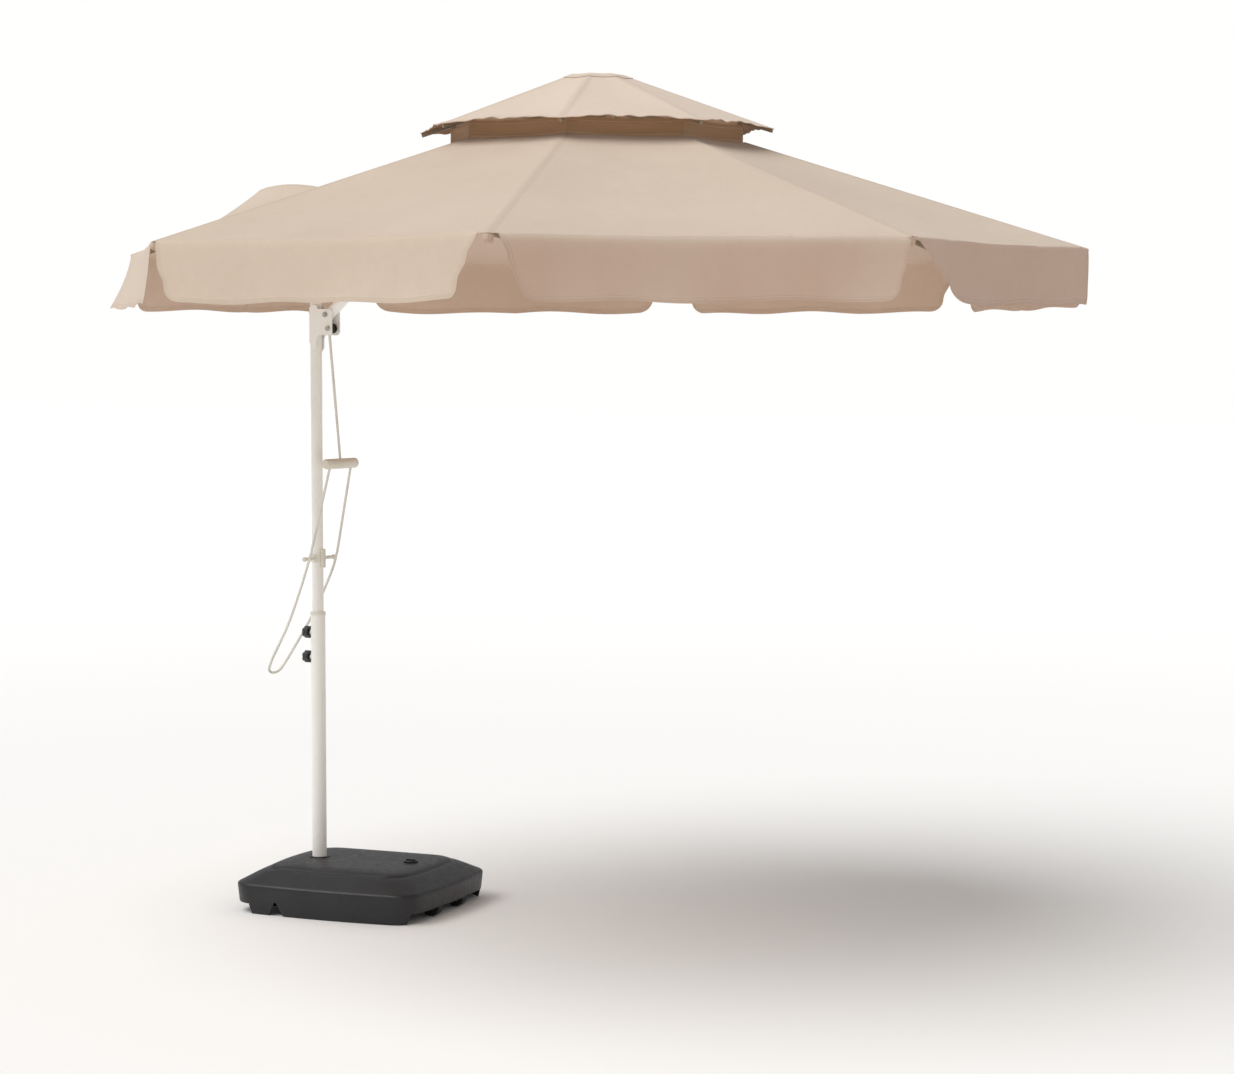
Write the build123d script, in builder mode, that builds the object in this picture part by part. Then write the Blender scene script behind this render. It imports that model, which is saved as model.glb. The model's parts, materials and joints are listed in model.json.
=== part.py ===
from build123d import *
import math
import os

# A cantilever patio umbrella with a double roof, in millimetres.
# The origin is on the mast's axis at floor level, +Z is up and +X points along the arm, from the mast to the canopy.

# ---- canopy ----
SIDES = 8
RIB_STEP = 360 / SIDES
HUB_X = 1101
TIP_R = 1500
TIP_Z = 2140
VENT_R = 464
SLOPE = 17.62
ROOF_R = 555
ROOF_Z = 2507
CROWN_R = 88
CROWN_Z = 2677
VALANCE = 173
FABRIC = 1.0
GAP_TOP = 30
GAP_BOTTOM = 190
SLIT = 3
SLOPE_RATIO = math.tan(math.radians(SLOPE))
VENT_Z = TIP_Z + (TIP_R - VENT_R) * SLOPE_RATIO

# ---- folding frame ----
PIN = 5
BORE = PIN + 0.1
EYE = 6
EYE_LENGTH = 26
RIB_WIDTH = 10
RIB_HEIGHT = 16
RIB_WALL = 1.0
RIB_DROP = 11
HUB_PIN_R = 50
HUB_PIN_Z = TIP_Z + (TIP_R - HUB_PIN_R) * SLOPE_RATIO - RIB_DROP
RIB_LENGTH = (TIP_R - 8 - HUB_PIN_R) / math.cos(math.radians(SLOPE))
STRUT_AT = 750
STRUT_DROP = 18
STRUT_LENGTH = math.hypot(STRUT_AT, STRUT_DROP)
STRUT_LINE = SLOPE + math.degrees(math.atan2(STRUT_DROP, STRUT_AT))
STRUT_WIDTH = 10
STRUT_HEIGHT = 12
LOWER_PIN_Z = HUB_PIN_Z - 2 * STRUT_LENGTH * math.sin(math.radians(STRUT_LINE))
LUG_PLATE = 1.5
LUG_GAP = 7
LUG_R = 9

# ---- top roof frame ----
ROOF_PIN_R = 70
ROOF_RIB_DROP = 8.5
ROOF_PIN_Z = ROOF_Z - ROOF_RIB_DROP + (ROOF_R - ROOF_PIN_R) * SLOPE_RATIO
ROOF_RIB_LENGTH = (ROOF_R - 6 - ROOF_PIN_R) / math.cos(math.radians(SLOPE))
ROOF_RIB_WIDTH = 8
ROOF_RIB_HEIGHT = 10
LINK_AT = 400
LINK_DX = ROOF_PIN_R - HUB_PIN_R
LINK_DZ = ROOF_PIN_Z - HUB_PIN_Z
LINK_END = 6.5

# ---- hubs ----
HUB_R = 62
HUB_HALF = 10
ROOF_HUB_R = 80
ROOF_HUB_HALF = 7
STEM_R = 22
STEM_BOTTOM = HUB_PIN_Z - 62
SLOT = 7
POST_R = 11
POST_BOTTOM = LOWER_PIN_Z - 38
LOWER_HUB_R = 60
LOWER_HUB_HALF = 9

# ---- mast ----
LOWER_TUBE_R = 24
UPPER_TUBE_R = 19
TUBE_WALL = 1.5
LOWER_TUBE_BOTTOM = 12
LOWER_TUBE_TOP = 966
UPPER_TUBE_BOTTOM = 715
UPPER_TUBE_TOP = 1998
RUNNING = 0.05
KNOB_HEIGHTS = (899.5, 817.8)
KNOB_R = 20
BUSH_HEIGHTS = (718, 925)
BUSH_LENGTH = 36

# ---- bracket, arm and rope gear ----
ARM_PIVOT = (56, 1951)
ARM_R = 18
ARM_WALL = 1.5
ARM_START = 12
ARM_RISE = 0.84
ARM_BEND = 0.237e-3
TONGUE_REACH = 100
TONGUE_WIDTH = 18
TONGUE_HEIGHT = 26
PLATE_IN = 19.2
PLATE = 3
PULLEY_AT = (67, 1906)
PULLEY_R = 16
PULLEY_GROOVE_R = 8
PULLEY_WIDTH = 13
CLEAT_Z = 1147.5
CLEAT_X = 6
CLEAT_REACH = 79
CLEAT_R = 6
HANDLE_X = 98
HANDLE_Z = 1463
HANDLE_LENGTH = 162
HANDLE_R = 17
HANDLE_HOLE_Y = 55
ROPE = 9

# ---- base ----
BASE_YAW = 10
BASE_U = 152
BASE_V = 10
BASE_HALF_LENGTH = 345
BASE_HALF_WIDTH = 310
BASE_BOW_LENGTH = 20
BASE_BOW_WIDTH = 22
BASE_CORNER = 58
BASE_SIDE = 90
BASE_STEP = 136
BASE_TOP = 150
DRAFT_IN = 8
STEP_IN = 72
TOP_IN = 128
WAIST = 34
BASE_WALL = 4
UNDERSIDE = 32
SKIRT_IN = 270
SLEEVE_COLUMN_R = 36
SOCKET_R = 30
WHEEL_R = 31
WHEEL_WIDTH = 28
WHEEL_U = 306
WHEEL_V = 90
AXLE_R = 5
CAP_U = 176
CAP_V = 14
CAP_R = 24
CAP_NECK_R = 17

# caps, lugs, pins, links and collars of the canopy frame and mast
CAP_LIP = 2
CAP_CORNER = 3
EYE_BITE = 12
STRUT_BITE = 10
LUG_FOOT = LUG_R + 6
LUG_NOSE = 5
LUG_NOSE_DROP = 7
LUG_CUT = LUG_R + 9
LUG_CUT_TOP = 1.2
LUG_CUT_BOTTOM = 26
PIN_STUB = 1.5
PIN_REACH = 4.5
PIN_BITE = 4
ROOF_EYE_LENGTH = 18
ROOF_CAP_LENGTH = 8
LINK_OUT = 2.5
LINK_IN = 0.5
LINK_SPACER_R = 3.5
SLOT_REACH = 20
SLOT_RUN = 60
LOWER_SLOT_RUN = 54
POST_WALL = 1.5
POST_PLAY = 0.4
SLEEVE_R = 20
SLEEVE_DROP = 22
SLEEVE_HEIGHT = 34
ARM_PLUG = 4
CLAMP_WALL = 4
NUT_R = 9
NUT_LENGTH = 5.5
NUT_BORE = 8.1
COLLAR_WALL = 1.5
COLLAR_SKIRT = 7
COLLAR_LIP = 3
CAP_HEIGHT = 11

os.makedirs("parts", exist_ok=True)


def write(builder, name):
    """Labels a finished piece and writes its STEP file."""
    builder.part.label = name
    export_step(builder.part, f"parts/{name}.step")


def rib_azimuth(index):
    """The direction of a rib, counted from 1, in degrees from +X."""
    return RIB_STEP / 2 + RIB_STEP * (index - 1)


def radial_plane(index):
    """The upright plane through a rib: its x runs outward from the hub and its y is up."""
    angle = math.radians(rib_azimuth(index))
    c = math.cos(angle)
    s = math.sin(angle)
    return Plane(origin=(HUB_X, 0, 0), x_dir=(c, s, 0), z_dir=(s, -c, 0))


def bar_plane(index, r, z, down):
    """A plane at (r, z) of a rib's upright plane, whose normal points outward and down by the given angle."""
    angle = math.radians(rib_azimuth(index))
    c = math.cos(angle)
    s = math.sin(angle)
    fall = math.radians(down)
    normal = (math.cos(fall) * c, math.cos(fall) * s, -math.sin(fall))
    return Plane(origin=(HUB_X + r * c, r * s, z), x_dir=(s, -c, 0), z_dir=normal)


def along(r, z, down, distance, lift=0.0):
    """The point a distance along a bar that starts at (r, z) and falls by an angle, lifted square to the bar."""
    fall = math.radians(down)
    across = (math.sin(fall), math.cos(fall))
    return (
        r + distance * math.cos(fall) + lift * across[0],
        z - distance * math.sin(fall) + lift * across[1],
    )


def cord_radii(points):
    """For each corner, the largest tangent arc: 0.45 of the shorter run, over the tangent of half the turn."""
    radii = []
    for before, corner, after in zip(points, points[1:], points[2:]):
        run_in = Vector(*corner) - Vector(*before)
        run_out = Vector(*after) - Vector(*corner)
        turn = math.radians(run_in.get_angle(run_out))
        radii.append(0.45 * min(run_in.length, run_out.length) / math.tan(turn / 2))
    return radii


def report_cord(name, points, radii, volume):
    """Prints a cord's radii and compares its volume with its section times its length."""
    with BuildLine() as line:
        FilletPolyline(*points, radius=radii)
    length = sum(edge.length for edge in line.edges())
    section = math.pi * (ROPE / 2) ** 2
    print(name, "radii", [round(r) for r in radii], "length", round(length, 1))
    print(name, "volume / (section x length)", round(volume / (section * length), 4))


def octagon(radius):
    """The corners of a horizontal octagon round the hub, with one at each rib."""
    corners = []
    for index in range(1, SIDES + 1):
        angle = math.radians(rib_azimuth(index))
        corners.append((HUB_X + radius * math.cos(angle), radius * math.sin(angle)))
    return corners


# ======================= folding frame =======================
RIB_TIP_CAP = 10

for rib in range(1, SIDES + 1):
    rib_face = bar_plane(rib, HUB_PIN_R, HUB_PIN_Z, SLOPE)
    rib_side = radial_plane(rib)
    lug_pin = along(HUB_PIN_R, HUB_PIN_Z, SLOPE, STRUT_AT, -STRUT_DROP)
    lug_root = along(HUB_PIN_R, HUB_PIN_Z, SLOPE, STRUT_AT, -RIB_HEIGHT / 2 + 1)
    link_pin = along(HUB_PIN_R, HUB_PIN_Z, SLOPE, LINK_AT)

    with BuildPart() as main_rib:
        # square tube from just outside the hub to the tip, closed by a tip plug
        with BuildSketch(rib_face.offset(EYE_LENGTH)):
            Rectangle(RIB_WIDTH, RIB_HEIGHT)
            Rectangle(RIB_WIDTH - 2 * RIB_WALL, RIB_HEIGHT - 2 * RIB_WALL, mode=Mode.SUBTRACT)
        extrude(amount=RIB_LENGTH - EYE_LENGTH - RIB_TIP_CAP)
        with BuildSketch(rib_face.offset(RIB_LENGTH - RIB_TIP_CAP)):
            RectangleRounded(RIB_WIDTH + CAP_LIP, RIB_HEIGHT, CAP_CORNER)
        extrude(amount=RIB_TIP_CAP)
        # flattened eye on the hub pin
        with BuildSketch(rib_face.offset(0)):
            Rectangle(EYE, RIB_HEIGHT - 2 * RIB_WALL)
        extrude(amount=EYE_LENGTH + EYE_BITE)
        with BuildSketch(rib_side):
            with Locations((HUB_PIN_R, HUB_PIN_Z)):
                Circle((RIB_HEIGHT - 2 * RIB_WALL) / 2)
        extrude(amount=EYE / 2, both=True)
        with BuildSketch(rib_side):
            with Locations((HUB_PIN_R, HUB_PIN_Z)):
                Circle(BORE / 2)
        extrude(amount=RIB_WIDTH, both=True, mode=Mode.SUBTRACT)
        # two ears under the rib carry the strut's pin
        with BuildSketch(rib_side):
            with BuildLine():
                Line(
                    along(*lug_root, SLOPE, -LUG_FOOT),
                    along(*lug_root, SLOPE, LUG_FOOT),
                )
                Line(along(*lug_root, SLOPE, LUG_FOOT), along(*lug_pin, SLOPE, LUG_NOSE, -LUG_NOSE_DROP))
                Line(along(*lug_pin, SLOPE, LUG_NOSE, -LUG_NOSE_DROP), along(*lug_pin, SLOPE, -LUG_NOSE, -LUG_NOSE_DROP))
                Line(along(*lug_pin, SLOPE, -LUG_NOSE, -LUG_NOSE_DROP), along(*lug_root, SLOPE, -LUG_FOOT))
            make_face()
        extrude(amount=LUG_GAP / 2 + LUG_PLATE, both=True)
        with BuildSketch(rib_side):
            with BuildLine():
                Line(
                    along(*lug_root, SLOPE, -LUG_CUT, -LUG_CUT_TOP),
                    along(*lug_root, SLOPE, LUG_CUT, -LUG_CUT_TOP),
                )
                Line(
                    along(*lug_root, SLOPE, LUG_CUT, -LUG_CUT_TOP),
                    along(*lug_root, SLOPE, LUG_CUT, -LUG_CUT_BOTTOM),
                )
                Line(
                    along(*lug_root, SLOPE, LUG_CUT, -LUG_CUT_BOTTOM),
                    along(*lug_root, SLOPE, -LUG_CUT, -LUG_CUT_BOTTOM),
                )
                Line(
                    along(*lug_root, SLOPE, -LUG_CUT, -LUG_CUT_BOTTOM),
                    along(*lug_root, SLOPE, -LUG_CUT, -LUG_CUT_TOP),
                )
            make_face()
        extrude(amount=LUG_GAP / 2, both=True, mode=Mode.SUBTRACT)
        with BuildSketch(rib_side):
            with Locations(lug_pin):
                Circle(PIN / 2)
        extrude(amount=LUG_GAP / 2 + LUG_PLATE + PIN_STUB, both=True)
        # the roof link's cross pin, through the rib's walls
        with BuildSketch(rib_side):
            with Locations(link_pin):
                Circle(PIN / 2)
        extrude(amount=RIB_WIDTH / 2 + PIN_REACH, both=True)
    write(main_rib, f"main_rib_{rib}")

    strut_face = bar_plane(rib, HUB_PIN_R, LOWER_PIN_Z, -STRUT_LINE)
    with BuildPart() as strut:
        with BuildSketch(strut_face.offset(EYE_LENGTH)):
            Rectangle(STRUT_WIDTH, STRUT_HEIGHT)
            Rectangle(STRUT_WIDTH - 2 * RIB_WALL, STRUT_HEIGHT - 2 * RIB_WALL, mode=Mode.SUBTRACT)
        extrude(amount=STRUT_LENGTH - 2 * EYE_LENGTH)
        for start in (0, STRUT_LENGTH - EYE_LENGTH - STRUT_BITE):
            with BuildSketch(strut_face.offset(start)):
                Rectangle(EYE, STRUT_HEIGHT - 2 * RIB_WALL)
            extrude(amount=EYE_LENGTH + STRUT_BITE)
        for eye in ((HUB_PIN_R, LOWER_PIN_Z), lug_pin):
            with BuildSketch(rib_side):
                with Locations(eye):
                    Circle((STRUT_HEIGHT - 2 * RIB_WALL) / 2)
            extrude(amount=EYE / 2, both=True)
            with BuildSketch(rib_side):
                with Locations(eye):
                    Circle(BORE / 2)
            extrude(amount=RIB_WIDTH, both=True, mode=Mode.SUBTRACT)
    write(strut, f"strut_{rib}")

    # ---- top roof rib, parallel motion with the main rib ----
    roof_face = bar_plane(rib, ROOF_PIN_R, ROOF_PIN_Z, SLOPE)
    roof_pin = (link_pin[0] + LINK_DX, link_pin[1] + LINK_DZ)
    with BuildPart() as roof_rib:
        with BuildSketch(roof_face.offset(ROOF_EYE_LENGTH)):
            Rectangle(ROOF_RIB_WIDTH, ROOF_RIB_HEIGHT)
            Rectangle(ROOF_RIB_WIDTH - 2 * RIB_WALL, ROOF_RIB_HEIGHT - 2 * RIB_WALL, mode=Mode.SUBTRACT)
        extrude(amount=ROOF_RIB_LENGTH - ROOF_EYE_LENGTH - ROOF_CAP_LENGTH)
        with BuildSketch(roof_face.offset(ROOF_RIB_LENGTH - ROOF_CAP_LENGTH)):
            RectangleRounded(ROOF_RIB_WIDTH + 1, ROOF_RIB_HEIGHT, 2)
        extrude(amount=ROOF_CAP_LENGTH)
        with BuildSketch(roof_face.offset(0)):
            Rectangle(EYE, ROOF_RIB_HEIGHT - 2 * RIB_WALL)
        extrude(amount=ROOF_EYE_LENGTH + ROOF_CAP_LENGTH)
        with BuildSketch(rib_side):
            with Locations((ROOF_PIN_R, ROOF_PIN_Z)):
                Circle((ROOF_RIB_HEIGHT - 1) / 2)
        extrude(amount=EYE / 2, both=True)
        with BuildSketch(rib_side):
            with Locations((ROOF_PIN_R, ROOF_PIN_Z)):
                Circle(BORE / 2)
        extrude(amount=RIB_WIDTH, both=True, mode=Mode.SUBTRACT)
        with BuildSketch(rib_side):
            with Locations(roof_pin):
                Circle(PIN / 2)
        extrude(amount=RIB_WIDTH / 2 + PIN_REACH, both=True)
    write(roof_rib, f"roof_rib_{rib}")

    # ---- link: two side plates on the pins of the main rib and the roof rib ----
    link_angle = math.degrees(math.atan2(LINK_DZ, LINK_DX))
    link_length = math.hypot(LINK_DX, LINK_DZ)
    with BuildPart() as link:
        with BuildSketch(rib_side) as link_shape:
            with Locations(((link_pin[0] + roof_pin[0]) / 2, (link_pin[1] + roof_pin[1]) / 2)):
                SlotCenterToCenter(link_length, 2 * LINK_END, rotation=link_angle)
            with Locations(link_pin, roof_pin):
                Circle(BORE / 2, mode=Mode.SUBTRACT)
        extrude(amount=RIB_WIDTH / 2 + LINK_OUT, both=True)
        with BuildSketch(rib_side):
            with Locations(((link_pin[0] + roof_pin[0]) / 2, (link_pin[1] + roof_pin[1]) / 2)):
                Rectangle(link_length + 4 * LINK_END, 4 * LINK_END, rotation=link_angle)
        extrude(amount=RIB_WIDTH / 2 + LINK_IN, both=True, mode=Mode.SUBTRACT)
        # the spacer that joins the two plates half way
        with BuildSketch(rib_side):
            with Locations(((link_pin[0] + roof_pin[0]) / 2, (link_pin[1] + roof_pin[1]) / 2)):
                Circle(LINK_SPACER_R)
        extrude(amount=RIB_WIDTH / 2 + LINK_IN, both=True)
    write(link, f"roof_link_{rib}")

# ======================= hubs =======================
with BuildPart() as upper_hub:
    with BuildSketch(Plane.XY.offset(HUB_PIN_Z - HUB_HALF)):
        with Locations((HUB_X, 0)):
            Circle(HUB_R)
    extrude(amount=2 * HUB_HALF)
    with BuildSketch(Plane.XY.offset(ROOF_PIN_Z - ROOF_HUB_HALF)):
        with Locations((HUB_X, 0)):
            Circle(ROOF_HUB_R)
    extrude(amount=2 * ROOF_HUB_HALF)
    for rib in range(1, SIDES + 1):
        with BuildSketch(radial_plane(rib)):
            with Locations((HUB_PIN_R + SLOT_REACH, HUB_PIN_Z)):
                Rectangle(SLOT_RUN, 4 * HUB_HALF)
            with Locations((ROOF_PIN_R + SLOT_REACH, ROOF_PIN_Z)):
                Rectangle(SLOT_RUN, 4 * ROOF_HUB_HALF)
        extrude(amount=SLOT / 2, both=True, mode=Mode.SUBTRACT)
        with BuildSketch(radial_plane(rib)):
            with Locations((HUB_PIN_R, HUB_PIN_Z), (ROOF_PIN_R, ROOF_PIN_Z)):
                Circle(PIN / 2)
        extrude(amount=SLOT / 2 + PIN_BITE, both=True)
    with BuildSketch(Plane.XY.offset(STEM_BOTTOM)):
        with Locations((HUB_X, 0)):
            Circle(STEM_R)
    extrude(amount=ROOF_PIN_Z + ROOF_HUB_HALF - STEM_BOTTOM)
    with BuildSketch(Plane.XY.offset(STEM_BOTTOM - 1)):
        with Locations((HUB_X, 0)):
            Circle(POST_R)
    extrude(amount=31, mode=Mode.SUBTRACT)
    # the crown disc holds up the fabric's flat top
    with BuildSketch(Plane.XY.offset(ROOF_PIN_Z + ROOF_HUB_HALF)):
        with Locations((HUB_X, 0)):
            Circle(CROWN_R * math.cos(math.radians(RIB_STEP / 2)) - 3)
    extrude(amount=CROWN_Z - FABRIC - 0.3 - ROOF_PIN_Z - ROOF_HUB_HALF)
write(upper_hub, "upper_hub")

with BuildPart() as centre_post:
    with BuildSketch(Plane.XY.offset(POST_BOTTOM)):
        with Locations((HUB_X, 0)):
            Circle(POST_R)
            Circle(POST_R - POST_WALL, mode=Mode.SUBTRACT)
    extrude(amount=STEM_BOTTOM + 30 - POST_BOTTOM)
write(centre_post, "centre_post")

with BuildPart() as lower_hub:
    with BuildSketch(Plane.XY.offset(LOWER_PIN_Z - LOWER_HUB_HALF)):
        with Locations((HUB_X, 0)):
            Circle(LOWER_HUB_R)
    extrude(amount=2 * LOWER_HUB_HALF)
    for rib in range(1, SIDES + 1):
        with BuildSketch(radial_plane(rib)):
            with Locations((HUB_PIN_R + SLOT_REACH, LOWER_PIN_Z)):
                Rectangle(LOWER_SLOT_RUN, 4 * LOWER_HUB_HALF)
        extrude(amount=SLOT / 2, both=True, mode=Mode.SUBTRACT)
        with BuildSketch(radial_plane(rib)):
            with Locations((HUB_PIN_R, LOWER_PIN_Z)):
                Circle(PIN / 2)
        extrude(amount=SLOT / 2 + PIN_BITE, both=True)
    with BuildSketch(Plane.XY.offset(LOWER_PIN_Z - SLEEVE_DROP)):
        with Locations((HUB_X, 0)):
            Circle(SLEEVE_R)
    extrude(amount=SLEEVE_HEIGHT)
    with BuildSketch(Plane.XY.offset(LOWER_PIN_Z - 30)):
        with Locations((HUB_X, 0)):
            Circle(POST_R + POST_PLAY)
    extrude(amount=60, mode=Mode.SUBTRACT)
write(lower_hub, "lower_hub")

# ======================= arm =======================
ARM_STOP_X = HUB_X - TONGUE_REACH


def arm_height(x):
    """The height of the arm's centreline, a shallow parabola from the mast pivot to the hub."""
    s = x - ARM_PIVOT[0]
    return ARM_PIVOT[1] + ARM_RISE * s - ARM_BEND * s * s


arm_slope = ARM_RISE
arm_foot = (
    ARM_PIVOT[0] - ARM_START / math.hypot(1, arm_slope),
    ARM_PIVOT[1] - ARM_START * arm_slope / math.hypot(1, arm_slope),
)
with BuildPart() as arm_tube:
    with BuildLine(Plane.XZ) as arm_line:
        Spline(
            *[(x, arm_height(x)) for x in (ARM_PIVOT[0], 280, 520, 760, ARM_STOP_X)],
            tangents=[(1, ARM_RISE), (1, ARM_RISE - 2 * ARM_BEND * (ARM_STOP_X - ARM_PIVOT[0]))],
        )
        Line(arm_foot, ARM_PIVOT)
    arm_start_plane = Plane(origin=(arm_foot[0], 0, arm_foot[1]), z_dir=(1, 0, arm_slope), x_dir=(0, 1, 0))
    with BuildSketch(arm_start_plane):
        Circle(ARM_R)
        Circle(ARM_R - ARM_WALL, mode=Mode.SUBTRACT)
    sweep(path=arm_line.wire())
    # plugged upper end
    arm_end_slope = ARM_RISE - 2 * ARM_BEND * (ARM_STOP_X - ARM_PIVOT[0])
    arm_end_plane = Plane(
        origin=(ARM_STOP_X, 0, arm_height(ARM_STOP_X)), z_dir=(1, 0, arm_end_slope), x_dir=(0, 1, 0)
    )
    with BuildSketch(arm_end_plane):
        Circle(ARM_R)
    extrude(amount=ARM_PLUG)
    # bolt holes are filled by the pivot bolt, which stands in the arm with a running fit
    with BuildSketch(Plane.XZ):
        with Locations(ARM_PIVOT):
            Circle(5.1)
    extrude(amount=ARM_R + 5, both=True, mode=Mode.SUBTRACT)
write(arm_tube, "arm_tube")

tongue_start = (
    ARM_STOP_X + ARM_PLUG / math.hypot(1, arm_end_slope),
    arm_height(ARM_STOP_X) + ARM_PLUG * arm_end_slope / math.hypot(1, arm_end_slope),
)
tongue_length = (HUB_X - STEM_R + 1 - tongue_start[0]) * math.hypot(1, arm_end_slope)
tongue_plane = Plane(origin=(tongue_start[0], 0, tongue_start[1]), z_dir=(1, 0, arm_end_slope), x_dir=(0, 1, 0))
with BuildPart() as arm_end:
    with BuildSketch(tongue_plane):
        RectangleRounded(TONGUE_WIDTH, TONGUE_HEIGHT, 3)
    extrude(amount=tongue_length)
    # collar that grips the hub's stem
    with BuildSketch(Plane.XY.offset(STEM_BOTTOM + 2)):
        with Locations((HUB_X, 0)):
            Circle(STEM_R + CLAMP_WALL)
    extrude(amount=HUB_PIN_Z - HUB_HALF - 2 - STEM_BOTTOM - 2)
    with BuildSketch(Plane.XY.offset(STEM_BOTTOM - 20)):
        with Locations((HUB_X, 0)):
            Circle(STEM_R)
    extrude(amount=100, mode=Mode.SUBTRACT)
write(arm_end, "arm_end")

# ======================= mast =======================
with BuildPart() as lower_tube:
    with BuildSketch(Plane.XY.offset(LOWER_TUBE_BOTTOM)):
        Circle(LOWER_TUBE_R)
        Circle(LOWER_TUBE_R - TUBE_WALL, mode=Mode.SUBTRACT)
    extrude(amount=LOWER_TUBE_TOP - LOWER_TUBE_BOTTOM)
    for knob_z in KNOB_HEIGHTS:
        # welded nut for the clamp screw
        with BuildSketch(Plane.YZ.offset(-LOWER_TUBE_R - 5)):
            with Locations((0, knob_z)):
                RegularPolygon(NUT_R, 6)
        extrude(amount=NUT_LENGTH)
        with BuildSketch(Plane.YZ.offset(-LOWER_TUBE_R - 6)):
            with Locations((0, knob_z)):
                Circle(NUT_BORE / 2)
        extrude(amount=10, mode=Mode.SUBTRACT)
write(lower_tube, "mast_lower_tube")

with BuildPart() as upper_tube:
    with BuildSketch(Plane.XY.offset(UPPER_TUBE_BOTTOM)):
        Circle(UPPER_TUBE_R)
        Circle(UPPER_TUBE_R - TUBE_WALL, mode=Mode.SUBTRACT)
    extrude(amount=UPPER_TUBE_TOP - UPPER_TUBE_BOTTOM)
write(upper_tube, "mast_upper_tube")

with BuildPart() as bushes:
    for bush_z in BUSH_HEIGHTS:
        with BuildSketch(Plane.XY.offset(bush_z)):
            Circle(LOWER_TUBE_R - TUBE_WALL - RUNNING)
            Circle(UPPER_TUBE_R, mode=Mode.SUBTRACT)
        extrude(amount=BUSH_LENGTH)
write(bushes, "mast_bushes")

with BuildPart() as collar:
    with BuildSketch(Plane.XY.offset(LOWER_TUBE_TOP - COLLAR_SKIRT)):
        Circle(LOWER_TUBE_R + COLLAR_WALL)
        Circle(LOWER_TUBE_R, mode=Mode.SUBTRACT)
    extrude(amount=COLLAR_SKIRT)
    with BuildSketch(Plane.XY.offset(LOWER_TUBE_TOP)):
        Circle(LOWER_TUBE_R + COLLAR_WALL)
        Circle(UPPER_TUBE_R + RUNNING, mode=Mode.SUBTRACT)
    extrude(amount=COLLAR_LIP)
    fillet(collar.edges().filter_by(GeomType.CIRCLE).sort_by(Axis.Z)[-1:], 0.8)
write(collar, "mast_collar")

with BuildPart() as mast_cap:
    with BuildSketch(Plane.XY.offset(UPPER_TUBE_TOP)):
        Circle(UPPER_TUBE_R + COLLAR_WALL)
    extrude(amount=CAP_HEIGHT)
    fillet(mast_cap.edges().sort_by(Axis.Z)[-1:], 5)
    with BuildSketch(Plane.XY.offset(UPPER_TUBE_TOP - 14)):
        Circle(UPPER_TUBE_R - TUBE_WALL)
    extrude(amount=14)
write(mast_cap, "mast_cap")

# each clamp knob is a lobed head on a short stem and a screw that presses on the upper tube
SCREW_R = 4
KNOB_NECK = 5
KNOB_HEAD = 20
KNOB_LOBES = 6
knob_back = -LOWER_TUBE_R - 5.4
for number, knob_z in enumerate(KNOB_HEIGHTS, start=1):
    with BuildPart() as knob:
        with BuildSketch(Plane.YZ.offset(knob_back)):
            with Locations((0, knob_z)):
                Circle(9)
        extrude(amount=-KNOB_NECK)
        with BuildSketch(Plane.YZ.offset(knob_back - KNOB_NECK)):
            with Locations((0, knob_z)):
                Circle(KNOB_R)
                with PolarLocations(KNOB_R + 3.5, KNOB_LOBES):
                    Circle(6.5, mode=Mode.SUBTRACT)
        extrude(amount=-KNOB_HEAD)
        fillet(knob.faces().sort_by(Axis.X)[0].edges(), 2.2)
        with BuildSketch(Plane.YZ.offset(knob_back)):
            with Locations((0, knob_z)):
                Circle(SCREW_R)
        extrude(amount=-knob_back - UPPER_TUBE_R - 0.3)
    write(knob, f"clamp_knob_{number}")

# ======================= bracket at the mast's head =======================
PLATE_OUTLINE = [
    (6, 1827),
    (-5, 1842),
    (-5, 1983),
    (17, 1983),
    (24, 1970),
    (76, 1970),
    (83, 1962),
    (83, 1892),
    (76, 1884),
    (24, 1884),
    (17, 1872),
    (17, 1842),
]
with BuildPart() as bracket:
    with BuildSketch(Plane.XZ):
        with BuildLine():
            Polyline(*PLATE_OUTLINE, close=True)
        make_face()
        with Locations(ARM_PIVOT, PULLEY_AT):
            Circle(5.1, mode=Mode.SUBTRACT)
    extrude(amount=PLATE_IN + PLATE, both=True)
    with BuildSketch(Plane.XZ):
        with Locations((40, 1900)):
            Rectangle(200, 300)
    extrude(amount=PLATE_IN, both=True, mode=Mode.SUBTRACT)
    # the strap that wraps the back of the mast and joins the two plates
    with BuildSketch(Plane.XY.offset(1858)):
        Circle(PLATE_IN + PLATE)
        Circle(PLATE_IN, mode=Mode.SUBTRACT)
        with Locations((50, 0)):
            Rectangle(100, 100, mode=Mode.SUBTRACT)
    extrude(amount=118)
write(bracket, "mast_bracket")

# bolts: heads on the near side, nuts on the far side
BOLT_R = 5
bolt_out = PLATE_IN + PLATE
with BuildPart() as bolts:
    for bolt_at in (ARM_PIVOT, PULLEY_AT):
        with BuildSketch(Plane.XZ.offset(-bolt_out)):
            with Locations(bolt_at):
                Circle(BOLT_R)
        extrude(amount=2 * bolt_out)
        with BuildSketch(Plane.XZ.offset(bolt_out)):
            with Locations(bolt_at):
                Circle(8.5)
        extrude(amount=4.5)
        with BuildSketch(Plane.XZ.offset(-bolt_out)):
            with Locations(bolt_at):
                RegularPolygon(8.5, 6)
        extrude(amount=-6)
    # the screw that pins the strap to the mast
    with BuildSketch(Plane.YZ.offset(-PLATE_IN - PLATE)):
        with Locations((0, 1960)):
            Circle(5.5)
    extrude(amount=-3.5)
write(bolts, "bracket_bolts")

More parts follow.
